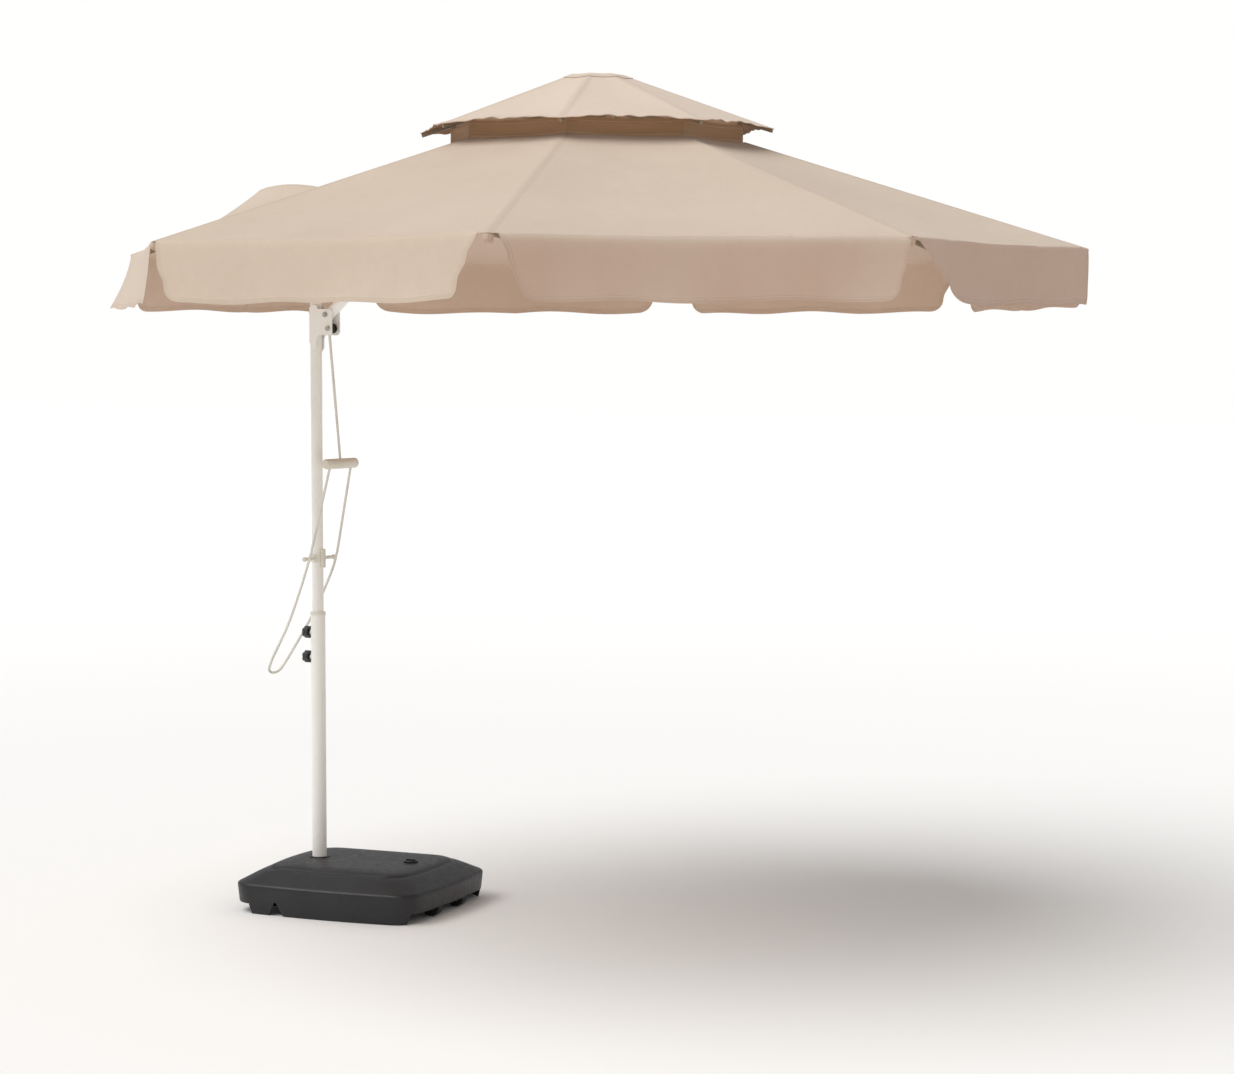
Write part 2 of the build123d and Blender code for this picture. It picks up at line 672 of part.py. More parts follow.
with BuildPart() as pulley:
    with BuildSketch(Plane.XZ.offset(-PULLEY_WIDTH / 2)):
        with Locations(PULLEY_AT):
            Circle(PULLEY_R)
            Circle(BOLT_R + RUNNING, mode=Mode.SUBTRACT)
    extrude(amount=PULLEY_WIDTH)
    # the rope's groove
    with BuildSketch(Plane.XZ.offset(-ROPE / 2 - 0.6)):
        with Locations(PULLEY_AT):
            Circle(PULLEY_R + 2)
            Circle(PULLEY_GROOVE_R - 0.3, mode=Mode.SUBTRACT)
    extrude(amount=ROPE + 1.2, mode=Mode.SUBTRACT)
write(pulley, "rope_pulley")

# ======================= rope gear =======================
with BuildPart() as cleat:
    with BuildSketch(Plane.XY.offset(CLEAT_Z - 13)):
        Circle(UPPER_TUBE_R + 4)
    extrude(amount=26)
    with BuildSketch(Plane.XZ.offset(-CLEAT_REACH)):
        with Locations((CLEAT_X, CLEAT_Z)):
            Circle(CLEAT_R)
    extrude(amount=2 * CLEAT_REACH)
    for side in (-1, 1):
        with Locations((CLEAT_X, side * (CLEAT_REACH - 3), CLEAT_Z)):
            Sphere(8.5)
    with BuildSketch(Plane.XZ.offset(-9)):
        with Locations((24.5, CLEAT_Z)):
            RectangleRounded(5, 62, 2)
    extrude(amount=18)
    with BuildSketch(Plane.XY.offset(CLEAT_Z - 40)):
        Circle(UPPER_TUBE_R)
    extrude(amount=80, mode=Mode.SUBTRACT)
write(cleat, "rope_cleat")

with BuildPart() as handle:
    with BuildSketch(Plane.XZ.offset(-HANDLE_LENGTH / 2)):
        with Locations((HANDLE_X, HANDLE_Z)):
            Circle(HANDLE_R)
    extrude(amount=HANDLE_LENGTH)
    fillet(handle.edges().filter_by(GeomType.CIRCLE), 7)
    # upright holes for the loop near the ends and for the pull rope's knot in the middle
    with BuildSketch(Plane.XY.offset(HANDLE_Z - HANDLE_R - 5)):
        with Locations((HANDLE_X, -HANDLE_HOLE_Y), (HANDLE_X, HANDLE_HOLE_Y)):
            Circle(ROPE / 2 + 2.5)
    extrude(amount=HANDLE_R, mode=Mode.SUBTRACT)
    with BuildSketch(Plane.XY.offset(HANDLE_Z + 5)):
        with Locations((HANDLE_X, 0)):
            Circle(ROPE / 2 + 1.5)
    extrude(amount=HANDLE_R, mode=Mode.SUBTRACT)
write(handle, "pull_handle")

PULL_ROPE = [(78, 0, 1957), (51.5, 0, 1932), (HANDLE_X, 0, HANDLE_Z + 8)]
pull_radii = [PULLEY_GROOVE_R + ROPE / 2]
with BuildPart() as pull_rope:
    with BuildLine() as pull_line:
        FilletPolyline(*PULL_ROPE, radius=pull_radii)
    with BuildSketch(Plane(origin=PULL_ROPE[0], z_dir=Vector(*PULL_ROPE[1]) - Vector(*PULL_ROPE[0]))):
        Circle(ROPE / 2)
    sweep(path=pull_line.wire())
write(pull_rope, "pull_rope")
report_cord("pull_rope", PULL_ROPE, pull_radii, pull_rope.part.volume)

# the loop leaves the handle, goes round the cleat's horns and hangs slack behind the mast
ROPE_LOOP = [
    (98, -55, 1453),
    (27, -70, 1163),
    (8, -71, 1110),
    (-16, -69, 1052),
    (-46, -65, 988),
    (-80, -60, 922),
    (-125, -53, 855),
    (-168, -44, 795),
    (-193, -27, 757),
    (-192, 24, 752),
    (-172, 44, 792),
    (-134, 52, 852),
    (-96, 58, 912),
    (-58, 64, 976),
    (-25, 68, 1042),
    (7, 71, 1107),
    (27, 70, 1163),
    (98, 55, 1453),
]
loop_radii = cord_radii(ROPE_LOOP)
with BuildPart() as rope_loop:
    with BuildLine() as loop_line:
        FilletPolyline(*ROPE_LOOP, radius=loop_radii)
    with BuildSketch(Plane(origin=ROPE_LOOP[0], z_dir=Vector(*ROPE_LOOP[1]) - Vector(*ROPE_LOOP[0]))):
        Circle(ROPE / 2)
    sweep(path=loop_line.wire())
write(rope_loop, "rope_loop")
report_cord("rope_loop", ROPE_LOOP, loop_radii, rope_loop.part.volume)

# ======================= base =======================
yaw = math.radians(BASE_YAW)
base_centre = (
    BASE_U * math.cos(yaw) - BASE_V * math.sin(yaw),
    BASE_U * math.sin(yaw) + BASE_V * math.cos(yaw),
)


def base_plane(z):
    """A level plane whose origin is the middle of the base and whose x runs along its length."""
    return Plane(origin=(*base_centre, z), x_dir=(math.cos(yaw), math.sin(yaw), 0), z_dir=(0, 0, 1))


def base_side_plane(v=0.0):
    """The upright plane along the base's length, v across from its middle."""
    c = math.cos(yaw)
    s = math.sin(yaw)
    return Plane(origin=(base_centre[0] - v * s, base_centre[1] + v * c, 0), x_dir=(c, s, 0), z_dir=(s, -c, 0))


def bowed_section(z, inset, corner, waist):
    """A level rounded rectangle with bowed sides. waist pulls its two long sides in half way."""
    a = BASE_HALF_LENGTH - BASE_BOW_LENGTH - inset
    b = BASE_HALF_WIDTH - BASE_BOW_WIDTH - inset
    mid_a = BASE_HALF_LENGTH - inset
    mid_b = BASE_HALF_WIDTH - inset - waist
    with BuildSketch(base_plane(z)) as section:
        with BuildLine():
            ThreePointArc((a, -b), (mid_a, 0), (a, b))
            ThreePointArc((a, b), (0, mid_b), (-a, b))
            ThreePointArc((-a, b), (-mid_a, 0), (-a, -b))
            ThreePointArc((-a, -b), (0, -mid_b), (a, -b))
        make_face()
        fillet(section.vertices(), corner)
    return section.sketch


def tank_form(shrink, floor, top):
    """Lofts the tank's outer shape, shrunk by a wall, between a floor height and a top height."""
    levels = [
        bowed_section(floor, DRAFT_IN + shrink, BASE_CORNER - 8, 0.0),
        bowed_section(BASE_SIDE - shrink / 2, shrink, BASE_CORNER, 0.0),
        bowed_section(BASE_STEP - shrink, STEP_IN + shrink, BASE_CORNER, WAIST / 2),
        bowed_section(top, TOP_IN + shrink, BASE_CORNER, WAIST),
    ]
    for low, high in zip(levels, levels[1:]):
        loft(sections=[low, high], ruled=True)


# the space inside the tank and the water or sand that fills it, both clear of the mast's column and wheel housings
POCKET_HALF_U = 44
POCKET_HALF_V = 26
POCKET_TOP = 74
CAVITY_FLOOR = UNDERSIDE + BASE_WALL
FILL_LEVEL = 139
FILL_GAP = 0.5
spaces = []
for gap, top in ((0, BASE_TOP - BASE_WALL), (FILL_GAP, FILL_LEVEL)):
    with BuildPart() as space:
        tank_form(BASE_WALL + gap, CAVITY_FLOOR + gap, top)
        with BuildSketch(Plane.XY):
            Circle(SLEEVE_COLUMN_R + gap)
        extrude(amount=BASE_TOP + 10, mode=Mode.SUBTRACT)
        with BuildSketch(base_plane(0)):
            with Locations((WHEEL_U + 20, -WHEEL_V), (WHEEL_U + 20, WHEEL_V)):
                Rectangle(2 * POCKET_HALF_U + 50, 2 * (POCKET_HALF_V + gap))
        extrude(amount=POCKET_TOP + gap, mode=Mode.SUBTRACT)
    spaces.append(space)
cavity, ballast = spaces

with BuildPart() as tank:
    tank_form(0, 0, BASE_TOP)
    # the underside is open between the two long skirts
    with BuildSketch(base_plane(-1)):
        Rectangle(2 * BASE_HALF_LENGTH + 20, 2 * SKIRT_IN)
    extrude(amount=UNDERSIDE + 1, mode=Mode.SUBTRACT)
    # the ends are raised, and a notch parts each front and rear foot from its skirt
    with BuildSketch(base_side_plane()):
        with BuildLine():
            Polyline((-400, -1), (-400, UNDERSIDE), (-242, UNDERSIDE), (-237, -1), close=True)
        make_face()
        with BuildLine():
            Polyline((-177, -1), (-158, 41), (-138, -1), close=True)
        make_face()
        with BuildLine():
            Polyline((314, -1), (310, UNDERSIDE), (400, UNDERSIDE), (400, -1), close=True)
        make_face()
    extrude(amount=2 * BASE_HALF_WIDTH, both=True, mode=Mode.SUBTRACT)
    add(cavity.part, mode=Mode.SUBTRACT)
    # the column under and round the mast, down to the floor
    with BuildSketch(Plane.XY):
        Circle(SLEEVE_COLUMN_R)
    extrude(amount=CAVITY_FLOOR)
    with BuildSketch(Plane.XY.offset(6)):
        Circle(SOCKET_R)
    extrude(amount=BASE_TOP, mode=Mode.SUBTRACT)
    # wheel pockets and the plates that hold the axle
    with BuildSketch(base_plane(-1)):
        with Locations((WHEEL_U + 20, -WHEEL_V), (WHEEL_U + 20, WHEEL_V)):
            Rectangle(2 * (WHEEL_R + 3) + 40, WHEEL_WIDTH + 8)
    extrude(amount=POCKET_TOP - BASE_WALL + 1, mode=Mode.SUBTRACT)
    with BuildSketch(base_plane(14)):
        for side in (-1, 1):
            for edge in (-1, 1):
                with Locations((WHEEL_U, side * WHEEL_V + edge * (WHEEL_WIDTH / 2 + 7))):
                    Rectangle(24, 6)
    extrude(amount=UNDERSIDE - 14 + 1)
    with BuildSketch(base_side_plane()):
        with Locations((WHEEL_U, WHEEL_R)):
            Circle(AXLE_R)
    extrude(amount=WHEEL_V + WHEEL_WIDTH / 2 + 12, both=True, mode=Mode.SUBTRACT)
    # filler neck
    with BuildSketch(base_plane(BASE_TOP - 30)):
        with Locations((CAP_U, CAP_V)):
            Circle(CAP_NECK_R)
    extrude(amount=40, mode=Mode.SUBTRACT)
write(tank, "base_tank")

write(ballast, "ballast_fill")

with BuildPart() as fill_cap:
    with BuildSketch(base_plane(BASE_TOP + 0.2)):
        with Locations((CAP_U, CAP_V)):
            Circle(CAP_R)
    extrude(amount=5)
    fillet(fill_cap.edges().sort_by(Axis.Z)[-1:], 2)
    with BuildSketch(base_plane(BASE_TOP - 9)):
        with Locations((CAP_U, CAP_V)):
            Circle(CAP_NECK_R - RUNNING)
    extrude(amount=9.2)
    # finger bar across the cap
    with BuildSketch(base_plane(BASE_TOP + 5)):
        with Locations((CAP_U, CAP_V)):
            RectangleRounded(34, 7, 3)
    extrude(amount=4.5)
write(fill_cap, "fill_cap")

with BuildPart() as socket:
    with BuildSketch(Plane.XY.offset(6)):
        Circle(SOCKET_R)
    extrude(amount=BASE_TOP - 6)
    with BuildSketch(Plane.XY.offset(BASE_TOP)):
        Circle(SOCKET_R + 4)
    extrude(amount=2.5)
    with BuildSketch(Plane.XY.offset(LOWER_TUBE_BOTTOM)):
        Circle(LOWER_TUBE_R)
    extrude(amount=BASE_TOP, mode=Mode.SUBTRACT)
write(socket, "mast_socket")

for number, side in enumerate((-1, 1), start=1):
    with BuildPart() as wheel:
        with BuildSketch(base_side_plane(side * WHEEL_V - WHEEL_WIDTH / 2)):
            with Locations((WHEEL_U, WHEEL_R)):
                Circle(WHEEL_R)
        extrude(amount=-WHEEL_WIDTH)
        fillet(wheel.edges().filter_by(GeomType.CIRCLE), 4)
        # dished faces with five spokes left standing
        for face_at, way in ((-WHEEL_WIDTH / 2, -1), (WHEEL_WIDTH / 2, 1)):
            with BuildSketch(base_side_plane(side * WHEEL_V + face_at)):
                with Locations((WHEEL_U, WHEEL_R)):
                    Circle(WHEEL_R - 9)
                    Circle(11, mode=Mode.SUBTRACT)
                    with PolarLocations(0, 5):
                        with Locations((WHEEL_R / 2, 0)):
                            Rectangle(WHEEL_R, 5, mode=Mode.SUBTRACT)
            extrude(amount=way * 5, mode=Mode.SUBTRACT)
        with BuildSketch(base_side_plane(side * WHEEL_V)):
            with Locations((WHEEL_U, WHEEL_R)):
                Circle(AXLE_R + RUNNING)
        extrude(amount=WHEEL_WIDTH, both=True, mode=Mode.SUBTRACT)
    write(wheel, f"wheel_{number}")

with BuildPart() as axle:
    with BuildSketch(base_side_plane()):
        with Locations((WHEEL_U, WHEEL_R)):
            Circle(AXLE_R)
    extrude(amount=WHEEL_V + WHEEL_WIDTH / 2 + 12, both=True)
write(axle, "wheel_axle")

# ======================= fabric =======================
SHOULDER = 0.62


def pyramid(bottom_r, bottom_z, top_r, top_z, lower):
    """An eight-sided frustum between two octagons, lowered by a fabric's thickness or not at all."""
    with BuildSketch(Plane.XY.offset(bottom_z - lower)) as wide:
        Polygon(*octagon(bottom_r), align=None)
    with BuildSketch(Plane.XY.offset(top_z - lower)) as narrow:
        Polygon(*octagon(top_r), align=None)
    loft(sections=[wide.sketch, narrow.sketch], ruled=True)


with BuildPart() as main_under:
    pyramid(TIP_R - FABRIC, TIP_Z, VENT_R, VENT_Z, FABRIC)
    with BuildSketch(Plane.XY.offset(TIP_Z - FABRIC)):
        Polygon(*octagon(TIP_R - FABRIC), align=None)
    extrude(amount=-VALANCE)
    with BuildSketch(Plane.XY.offset(VENT_Z - FABRIC)):
        Polygon(*octagon(VENT_R), align=None)
    extrude(amount=FABRIC * 2)

with BuildPart() as main_canopy:
    pyramid(TIP_R, TIP_Z, VENT_R, VENT_Z, 0)
    with BuildSketch(Plane.XY.offset(TIP_Z)):
        Polygon(*octagon(TIP_R), align=None)
    extrude(amount=-VALANCE)
    add(main_under.part, mode=Mode.SUBTRACT)
    # a gap that widens downward parts the valance flaps at each rib
    for rib in range(1, SIDES + 1):
        angle = math.radians(rib_azimuth(rib))
        gap_plane = Plane(
            origin=(HUB_X + TIP_R * math.cos(angle), TIP_R * math.sin(angle), 0),
            x_dir=(-math.sin(angle), math.cos(angle), 0),
            z_dir=(math.cos(angle), math.sin(angle), 0),
        )
        with BuildSketch(gap_plane):
            with BuildLine():
                Polyline(
                    (-GAP_TOP / 2, TIP_Z - 12),
                    (GAP_TOP / 2, TIP_Z - 12),
                    (GAP_BOTTOM / 2 * SHOULDER, TIP_Z - VALANCE * 0.8),
                    (GAP_BOTTOM / 2, TIP_Z - VALANCE - 5),
                    (-GAP_BOTTOM / 2, TIP_Z - VALANCE - 5),
                    (-GAP_BOTTOM / 2 * SHOULDER, TIP_Z - VALANCE * 0.8),
                    close=True,
                )
            make_face()
        extrude(amount=130, both=True, mode=Mode.SUBTRACT)
    # the slit from the hem to the vent that lets the arm and mast through
    with BuildSketch(Plane.XY.offset(TIP_Z - VALANCE - 10)):
        with Locations((HUB_X - (TIP_R + VENT_R) / 2, 0)):
            Rectangle(TIP_R - VENT_R + 300, SLIT)
    extrude(amount=VENT_Z - TIP_Z + VALANCE + 20, mode=Mode.SUBTRACT)
write(main_canopy, "main_canopy")

with BuildPart() as roof_under:
    pyramid(ROOF_R, ROOF_Z, CROWN_R, CROWN_Z, FABRIC)

with BuildPart() as top_canopy:
    pyramid(ROOF_R, ROOF_Z, CROWN_R, CROWN_Z, 0)
    add(roof_under.part, mode=Mode.SUBTRACT)
write(top_canopy, "top_canopy")
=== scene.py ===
import json
import math

import bpy
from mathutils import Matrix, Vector, noise


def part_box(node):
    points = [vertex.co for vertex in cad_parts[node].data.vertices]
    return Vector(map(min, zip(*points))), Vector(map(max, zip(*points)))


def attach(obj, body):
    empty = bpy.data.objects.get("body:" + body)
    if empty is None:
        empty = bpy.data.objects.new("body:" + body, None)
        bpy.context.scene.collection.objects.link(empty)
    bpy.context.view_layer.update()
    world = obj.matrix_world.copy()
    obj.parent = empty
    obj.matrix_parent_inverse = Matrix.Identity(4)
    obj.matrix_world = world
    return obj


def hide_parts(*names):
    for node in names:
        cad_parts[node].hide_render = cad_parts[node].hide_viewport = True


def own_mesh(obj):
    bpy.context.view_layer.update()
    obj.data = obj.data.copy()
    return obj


# A cantilever patio umbrella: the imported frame, its canopy sheets, ropes, base shell and materials. Metres.
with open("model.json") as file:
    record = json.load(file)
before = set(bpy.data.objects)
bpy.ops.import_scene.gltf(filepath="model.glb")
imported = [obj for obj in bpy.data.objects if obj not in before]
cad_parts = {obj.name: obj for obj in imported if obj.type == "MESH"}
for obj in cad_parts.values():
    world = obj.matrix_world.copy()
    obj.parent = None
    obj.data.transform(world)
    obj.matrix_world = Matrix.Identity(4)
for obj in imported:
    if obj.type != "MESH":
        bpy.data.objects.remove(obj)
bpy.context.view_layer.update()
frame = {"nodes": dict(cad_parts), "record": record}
nodes = frame["nodes"]

SIDES = 8
HALF_STEP = math.pi / SIDES
canopy_low, canopy_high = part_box("main_canopy")
roof_low, roof_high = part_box("top_canopy")
HUB_X = (canopy_low.x + canopy_high.x) / 2
TIP_R = (canopy_high.x - canopy_low.x) / 2 / math.cos(HALF_STEP)
VALANCE = 0.173
TIP_Z = canopy_low.z + VALANCE
VENT_R = 0.464
VENT_Z = canopy_high.z
# radius of the brown sheet of painted shade in the vent
SHADE_SHEET_R = 0.458
ROOF_R = (roof_high.x - roof_low.x) / 2 / math.cos(HALF_STEP)
ROOF_Z = roof_low.z + 0.001
CROWN_R = 0.088
CROWN_Z = roof_high.z
CLOTH = 0.0009
HEM = 0.015
ROPE = 0.009
SUN_FROM = Vector((-0.20, -0.425, 0.883))
YARN_PITCH = 0.0016
STITCH_PITCH = 0.0052
STITCH_IN = 0.010
HALF_STITCH = (0.0006, 0.0011)
# painted shade for the doubled cloth at seams and hems
SEAM_SHADE_TINT = (0.8, 0.76, 0.7, 1)
SHADE_TINT = (0.85, 0.71, 0.67, 1)
SHADE_FACING = (0.12, 0.42)
THREAD = (0.83, 0.74, 0.62, 1)


# ---- node helpers ----
class Shader:
    """A material under construction: adds nodes by type, sets their inputs and links them."""

    def __init__(self, name):
        self.material = bpy.data.materials.new(name)
        self.material.use_nodes = True
        self.tree = self.material.node_tree
        self.surface = self.tree.nodes["Principled BSDF"]

    def add(self, kind, inputs=None, **settings):
        node = self.tree.nodes.new("ShaderNode" + kind)
        for key, value in settings.items():
            setattr(node, key, value)
        for key, value in (inputs or {}).items():
            self.set(node, key, value)
        return node

    def set(self, node, key, value):
        if isinstance(value, bpy.types.NodeSocket):
            self.tree.links.new(value, node.inputs[key])
        else:
            node.inputs[key].default_value = value

    def math(self, operation, *values):
        node = self.add("Math", operation=operation)
        for index, value in enumerate(values):
            self.set(node, index, value)
        return node.outputs[0]

    def noise(self, vector, scale, detail=3.0, rough=0.55):
        inputs = {"Vector": vector, "Scale": scale, "Detail": detail, "Roughness": rough}
        return self.add("TexNoise", inputs).outputs["Fac"]

    def spread(self, value, low, high, out_low, out_high):
        inputs = {0: value, 1: low, 2: high, 3: out_low, 4: out_high}
        return self.add("MapRange", inputs).outputs[0]

    def mix(self, factor, first, second, blend="MIX"):
        node = self.add("Mix", data_type="RGBA", blend_type=blend)
        for key, value in ((0, factor), (6, first), (7, second)):
            self.set(node, key, value)
        return node.outputs[2]

    def bump(self, height, distance, strength=1.0, normal=None):
        node = self.add("Bump", {"Height": height, "Distance": distance, "Strength": strength})
        if normal is not None:
            self.set(node, "Normal", normal)
        return node.outputs[0]

    def finish(self, **inputs):
        for key, value in inputs.items():
            self.set(self.surface, key.replace("_", " "), value)
        return self.material


def srgb(red, green, blue):
    """A colour as read from 0 to 255, in linear light."""
    return tuple(((c / 255 + 0.055) / 1.055) ** 2.4 for c in (red, green, blue)) + (1.0,)


def cloth_material(name, light, dark, outside=True):
    """Woven polyester: a plain weave, broad tone changes, painted shade on faces turned from the light, seams
    painted darker as shade, with a line of stitches.
    """
    s = Shader(name)
    place = s.add("TexCoord").outputs["Object"]
    cloth = s.add("UVMap", uv_map="cloth").outputs[0]
    edge = s.add("Attribute", attribute_name="seam").outputs["Fac"]
    broad = s.noise(place, 1.6, 4.0)
    fine = s.noise(place, 38.0, 5.0, 0.6)
    colour = s.mix(s.spread(broad, 0.35, 0.68, 0.0, 1.0), dark, light)
    slub = s.mix(s.spread(fine, 0.3, 0.7, 0.0, 0.5), (0.93, 0.92, 0.9, 1), (1, 1, 1, 1))
    colour = s.mix(1.0, colour, slub, "MULTIPLY")
    if outside:
        # a tint, not a property of the cloth: faces turned from the light are made redder
        normal = s.add("NewGeometry").outputs["Normal"]
        facing = s.add("VectorMath", {0: normal, 1: tuple(SUN_FROM)}, operation="DOT_PRODUCT")
        away = s.spread(facing.outputs["Value"], *SHADE_FACING, 1.0, 0.0)
        colour = s.mix(away, colour, s.mix(1.0, colour, SHADE_TINT, "MULTIPLY"))
    # painted shade: a hem or seam allowance is two layers thick, so it lets less light through, and it is
    # painted darker for that
    allowance = s.spread(edge, 0.012, 0.015, 1.0, 0.0)
    doubled = s.mix(1.0, colour, SEAM_SHADE_TINT, "MULTIPLY")
    colour = s.mix(s.math("MULTIPLY", allowance, 0.32), colour, doubled)
    split = s.add("SeparateXYZ", {0: cloth})
    run = s.math("ADD", split.outputs[0], split.outputs[1])
    along = s.math("SINE", s.math("MULTIPLY", run, 2 * math.pi / STITCH_PITCH))
    near = s.math("ABSOLUTE", s.math("SUBTRACT", edge, STITCH_IN))
    line = s.spread(near, *HALF_STITCH, 1.0, 0.0)
    thread = s.math("MULTIPLY", line, s.spread(along, -0.4, 0.1, 0.0, 1.0))
    colour = s.mix(s.math("MULTIPLY", thread, 0.55), colour, THREAD)
    warp = s.math("SINE", s.math("MULTIPLY", split.outputs[0], 2 * math.pi / YARN_PITCH))
    weft = s.math("SINE", s.math("MULTIPLY", split.outputs[1], 2 * math.pi / YARN_PITCH))
    weave = s.math("MULTIPLY", warp, weft)
    relief = s.math("ADD", s.math("MULTIPLY", weave, 0.12), s.math("MULTIPLY", fine, 0.3))
    ridge = s.spread(edge, 0.0135, 0.0155, 1.0, 0.0)
    pucker = s.math("MULTIPLY", s.noise(place, 60.0, 2.0), s.spread(edge, 0.0, 0.03, 1.0, 0.0))
    seam_relief = s.math("ADD", s.math("MULTIPLY", ridge, 1.1), s.math("MULTIPLY", pucker, 1.6))
    relief = s.math("ADD", relief, seam_relief)
    relief = s.math("SUBTRACT", relief, s.math("MULTIPLY", thread, 0.8))
    crease = s.bump(s.noise(place, 7.0, 3.0), 0.012, 0.35)
    return s.finish(
        Base_Color=colour,
        Roughness=s.spread(fine, 0.3, 0.7, 0.72, 0.88),
        Sheen_Weight=0.18,
        Sheen_Roughness=0.5,
        Normal=s.bump(relief, 0.0007, 0.8, crease),
    )


def paint_material(name, colour, rough):
    """Powder coat: orange peel, faint mottling and a slight rub-off in its roughness."""
    s = Shader(name)
    place = s.add("TexCoord").outputs["Object"]
    mottle = s.noise(place, 9.0, 5.0)
    peel = s.noise(place, 700.0, 2.0)
    grime = s.noise(place, 32.0, 6.0, 0.65)
    worn = tuple(c * 0.93 for c in colour[:3]) + (1.0,)
    tone = s.mix(s.spread(mottle, 0.3, 0.75, 0.0, 0.5), colour, worn)
    tone = s.mix(s.spread(grime, 0.62, 0.8, 0.0, 0.12), tone, (0.5, 0.46, 0.38, 1))
    return s.finish(
        Base_Color=tone,
        Roughness=s.spread(grime, 0.3, 0.75, rough - 0.06, rough + 0.14),
        Coat_Weight=0.12,
        Normal=s.bump(peel, 0.0002, 0.35),
    )


def plastic_material(name, colour, rough, grain, depth, wear=0.0):
    """Moulded plastic: leather-like grain, tone drift, dust in patches and paler rubbed edges."""
    s = Shader(name)
    place = s.add("TexCoord").outputs["Object"]
    cells = s.add("TexVoronoi", {"Vector": place, "Scale": grain}, feature="SMOOTH_F1").outputs["Distance"]
    drift = s.noise(place, 5.0, 5.0)
    dust = s.noise(place, 45.0, 6.0, 0.7)
    pale = tuple(min(1.0, c * 1.7 + 0.012) for c in colour[:3]) + (1.0,)
    tone = s.mix(s.spread(drift, 0.3, 0.75, 0.0, 0.5), colour, pale)
    tone = s.mix(s.spread(dust, 0.55, 0.8, 0.0, 0.22), tone, pale)
    if wear:
        edges = s.add("NewGeometry").outputs["Pointiness"]
        rub = s.math("MULTIPLY", s.spread(edges, 0.51, 0.58, 0.0, 1.0), s.spread(dust, 0.4, 0.65, 0.0, wear))
        tone = s.mix(rub, tone, tuple(min(1.0, c * 3 + 0.03) for c in colour[:3]) + (1.0,))
    return s.finish(
        Base_Color=tone,
        Roughness=s.spread(dust, 0.3, 0.75, rough - 0.08, rough + 0.12),
        Normal=s.bump(s.math("ADD", cells, s.math("MULTIPLY", dust, 0.4)), depth, 0.5),
    )


def metal_material(name, colour, rough):
    """Zinc-plated steel with a fine drawn grain."""
    s = Shader(name)
    place = s.add("TexCoord").outputs["Object"]
    stretch = s.add("Mapping", {"Vector": place, "Scale": (900.0, 60.0, 900.0)}).outputs[0]
    lines = s.noise(stretch, 1.0, 2.0)
    patch = s.noise(place, 60.0, 4.0)
    dull = tuple(c * 0.7 for c in colour[:3]) + (1.0,)
    return s.finish(
        Base_Color=s.mix(s.spread(patch, 0.35, 0.7, 0.0, 1.0), colour, dull),
        Metallic=1.0,
        Roughness=s.spread(patch, 0.3, 0.7, rough, rough + 0.18),
        Normal=s.bump(lines, 0.0002, 0.3),
    )


def rope_material(name, colour):
    """Braided cord: darker in the grooves between the strands, fine fibres along them."""
    s = Shader(name)
    place = s.add("TexCoord").outputs["Object"]
    depth = s.add("Attribute", attribute_name="groove").outputs["Fac"]
    fibre = s.noise(place, 900.0, 3.0)
    stain = s.noise(place, 14.0, 4.0)
    deep = tuple(c * 0.5 for c in colour[:3]) + (1.0,)
    # darker in the grooves between the strands
    tone = s.mix(s.spread(depth, 0.0, 0.75, 0.5, 0.0), colour, deep)
    tone = s.mix(s.spread(stain, 0.5, 0.75, 0.0, 0.3), tone, deep)
    return s.finish(
        Base_Color=tone,
        Roughness=0.82,
        Sheen_Weight=0.25,
        Normal=s.bump(fibre, 0.0003, 0.6),
    )


CLOTH_TOP = cloth_material("canopy_cloth", srgb(219, 201, 184), srgb(212, 194, 176))
ROOF_CLOTH = cloth_material("top_roof_cloth", srgb(230, 212, 196), srgb(224, 206, 190))
# painted shade: the inner faces are darker, browner copies of the outer cloth, standing in for the shadow
# under the roofs
CLOTH_SHADED_INSIDE = cloth_material(
    "canopy_cloth_shaded_inside", srgb(220, 195, 175), srgb(210, 185, 165), outside=False
)
ROOF_SHADED_INSIDE = cloth_material(
    "top_roof_shaded_inside", srgb(186, 148, 112), srgb(174, 136, 102), outside=False
)
CREAM_PAINT = paint_material("cream_powder_coat", srgb(252, 250, 244), 0.36)
# painted shade: the frame under the canopy is painted brown-grey, as if in the canopy's shade
SHADED_RIB_PAINT = paint_material("rib_coat_painted_shade", srgb(150, 134, 114), 0.42)
HUB_PLASTIC = plastic_material("cream_moulding", srgb(226, 220, 202), 0.5, 900.0, 0.0002)
TANK_PLASTIC = plastic_material("black_tank", srgb(21, 21, 26), 0.39, 420.0, 0.0005, wear=0.12)
BLACK_PLASTIC = plastic_material("black_moulding", srgb(34, 34, 36), 0.42, 900.0, 0.0003, wear=0.6)
WHEEL_RUBBER = plastic_material("wheel_tread", srgb(26, 26, 27), 0.68, 500.0, 0.0005)
WATER_FILL = plastic_material("fill", srgb(150, 150, 140), 0.6, 300.0, 0.0005)
ZINC = metal_material("zinc_plate", srgb(190, 188, 180), 0.3)
CORD_WEAVE = rope_material("braided_cord", srgb(238, 236, 226))

COAT = {
    "cream_metal": CREAM_PAINT,
    "cream_plastic": HUB_PLASTIC,
    "canopy_fabric": CLOTH_TOP,
    "black_plastic": BLACK_PLASTIC,
    "ballast": WATER_FILL,
    "rope": CORD_WEAVE,
    "steel": ZINC,
    "wheel_rubber": WHEEL_RUBBER,
}
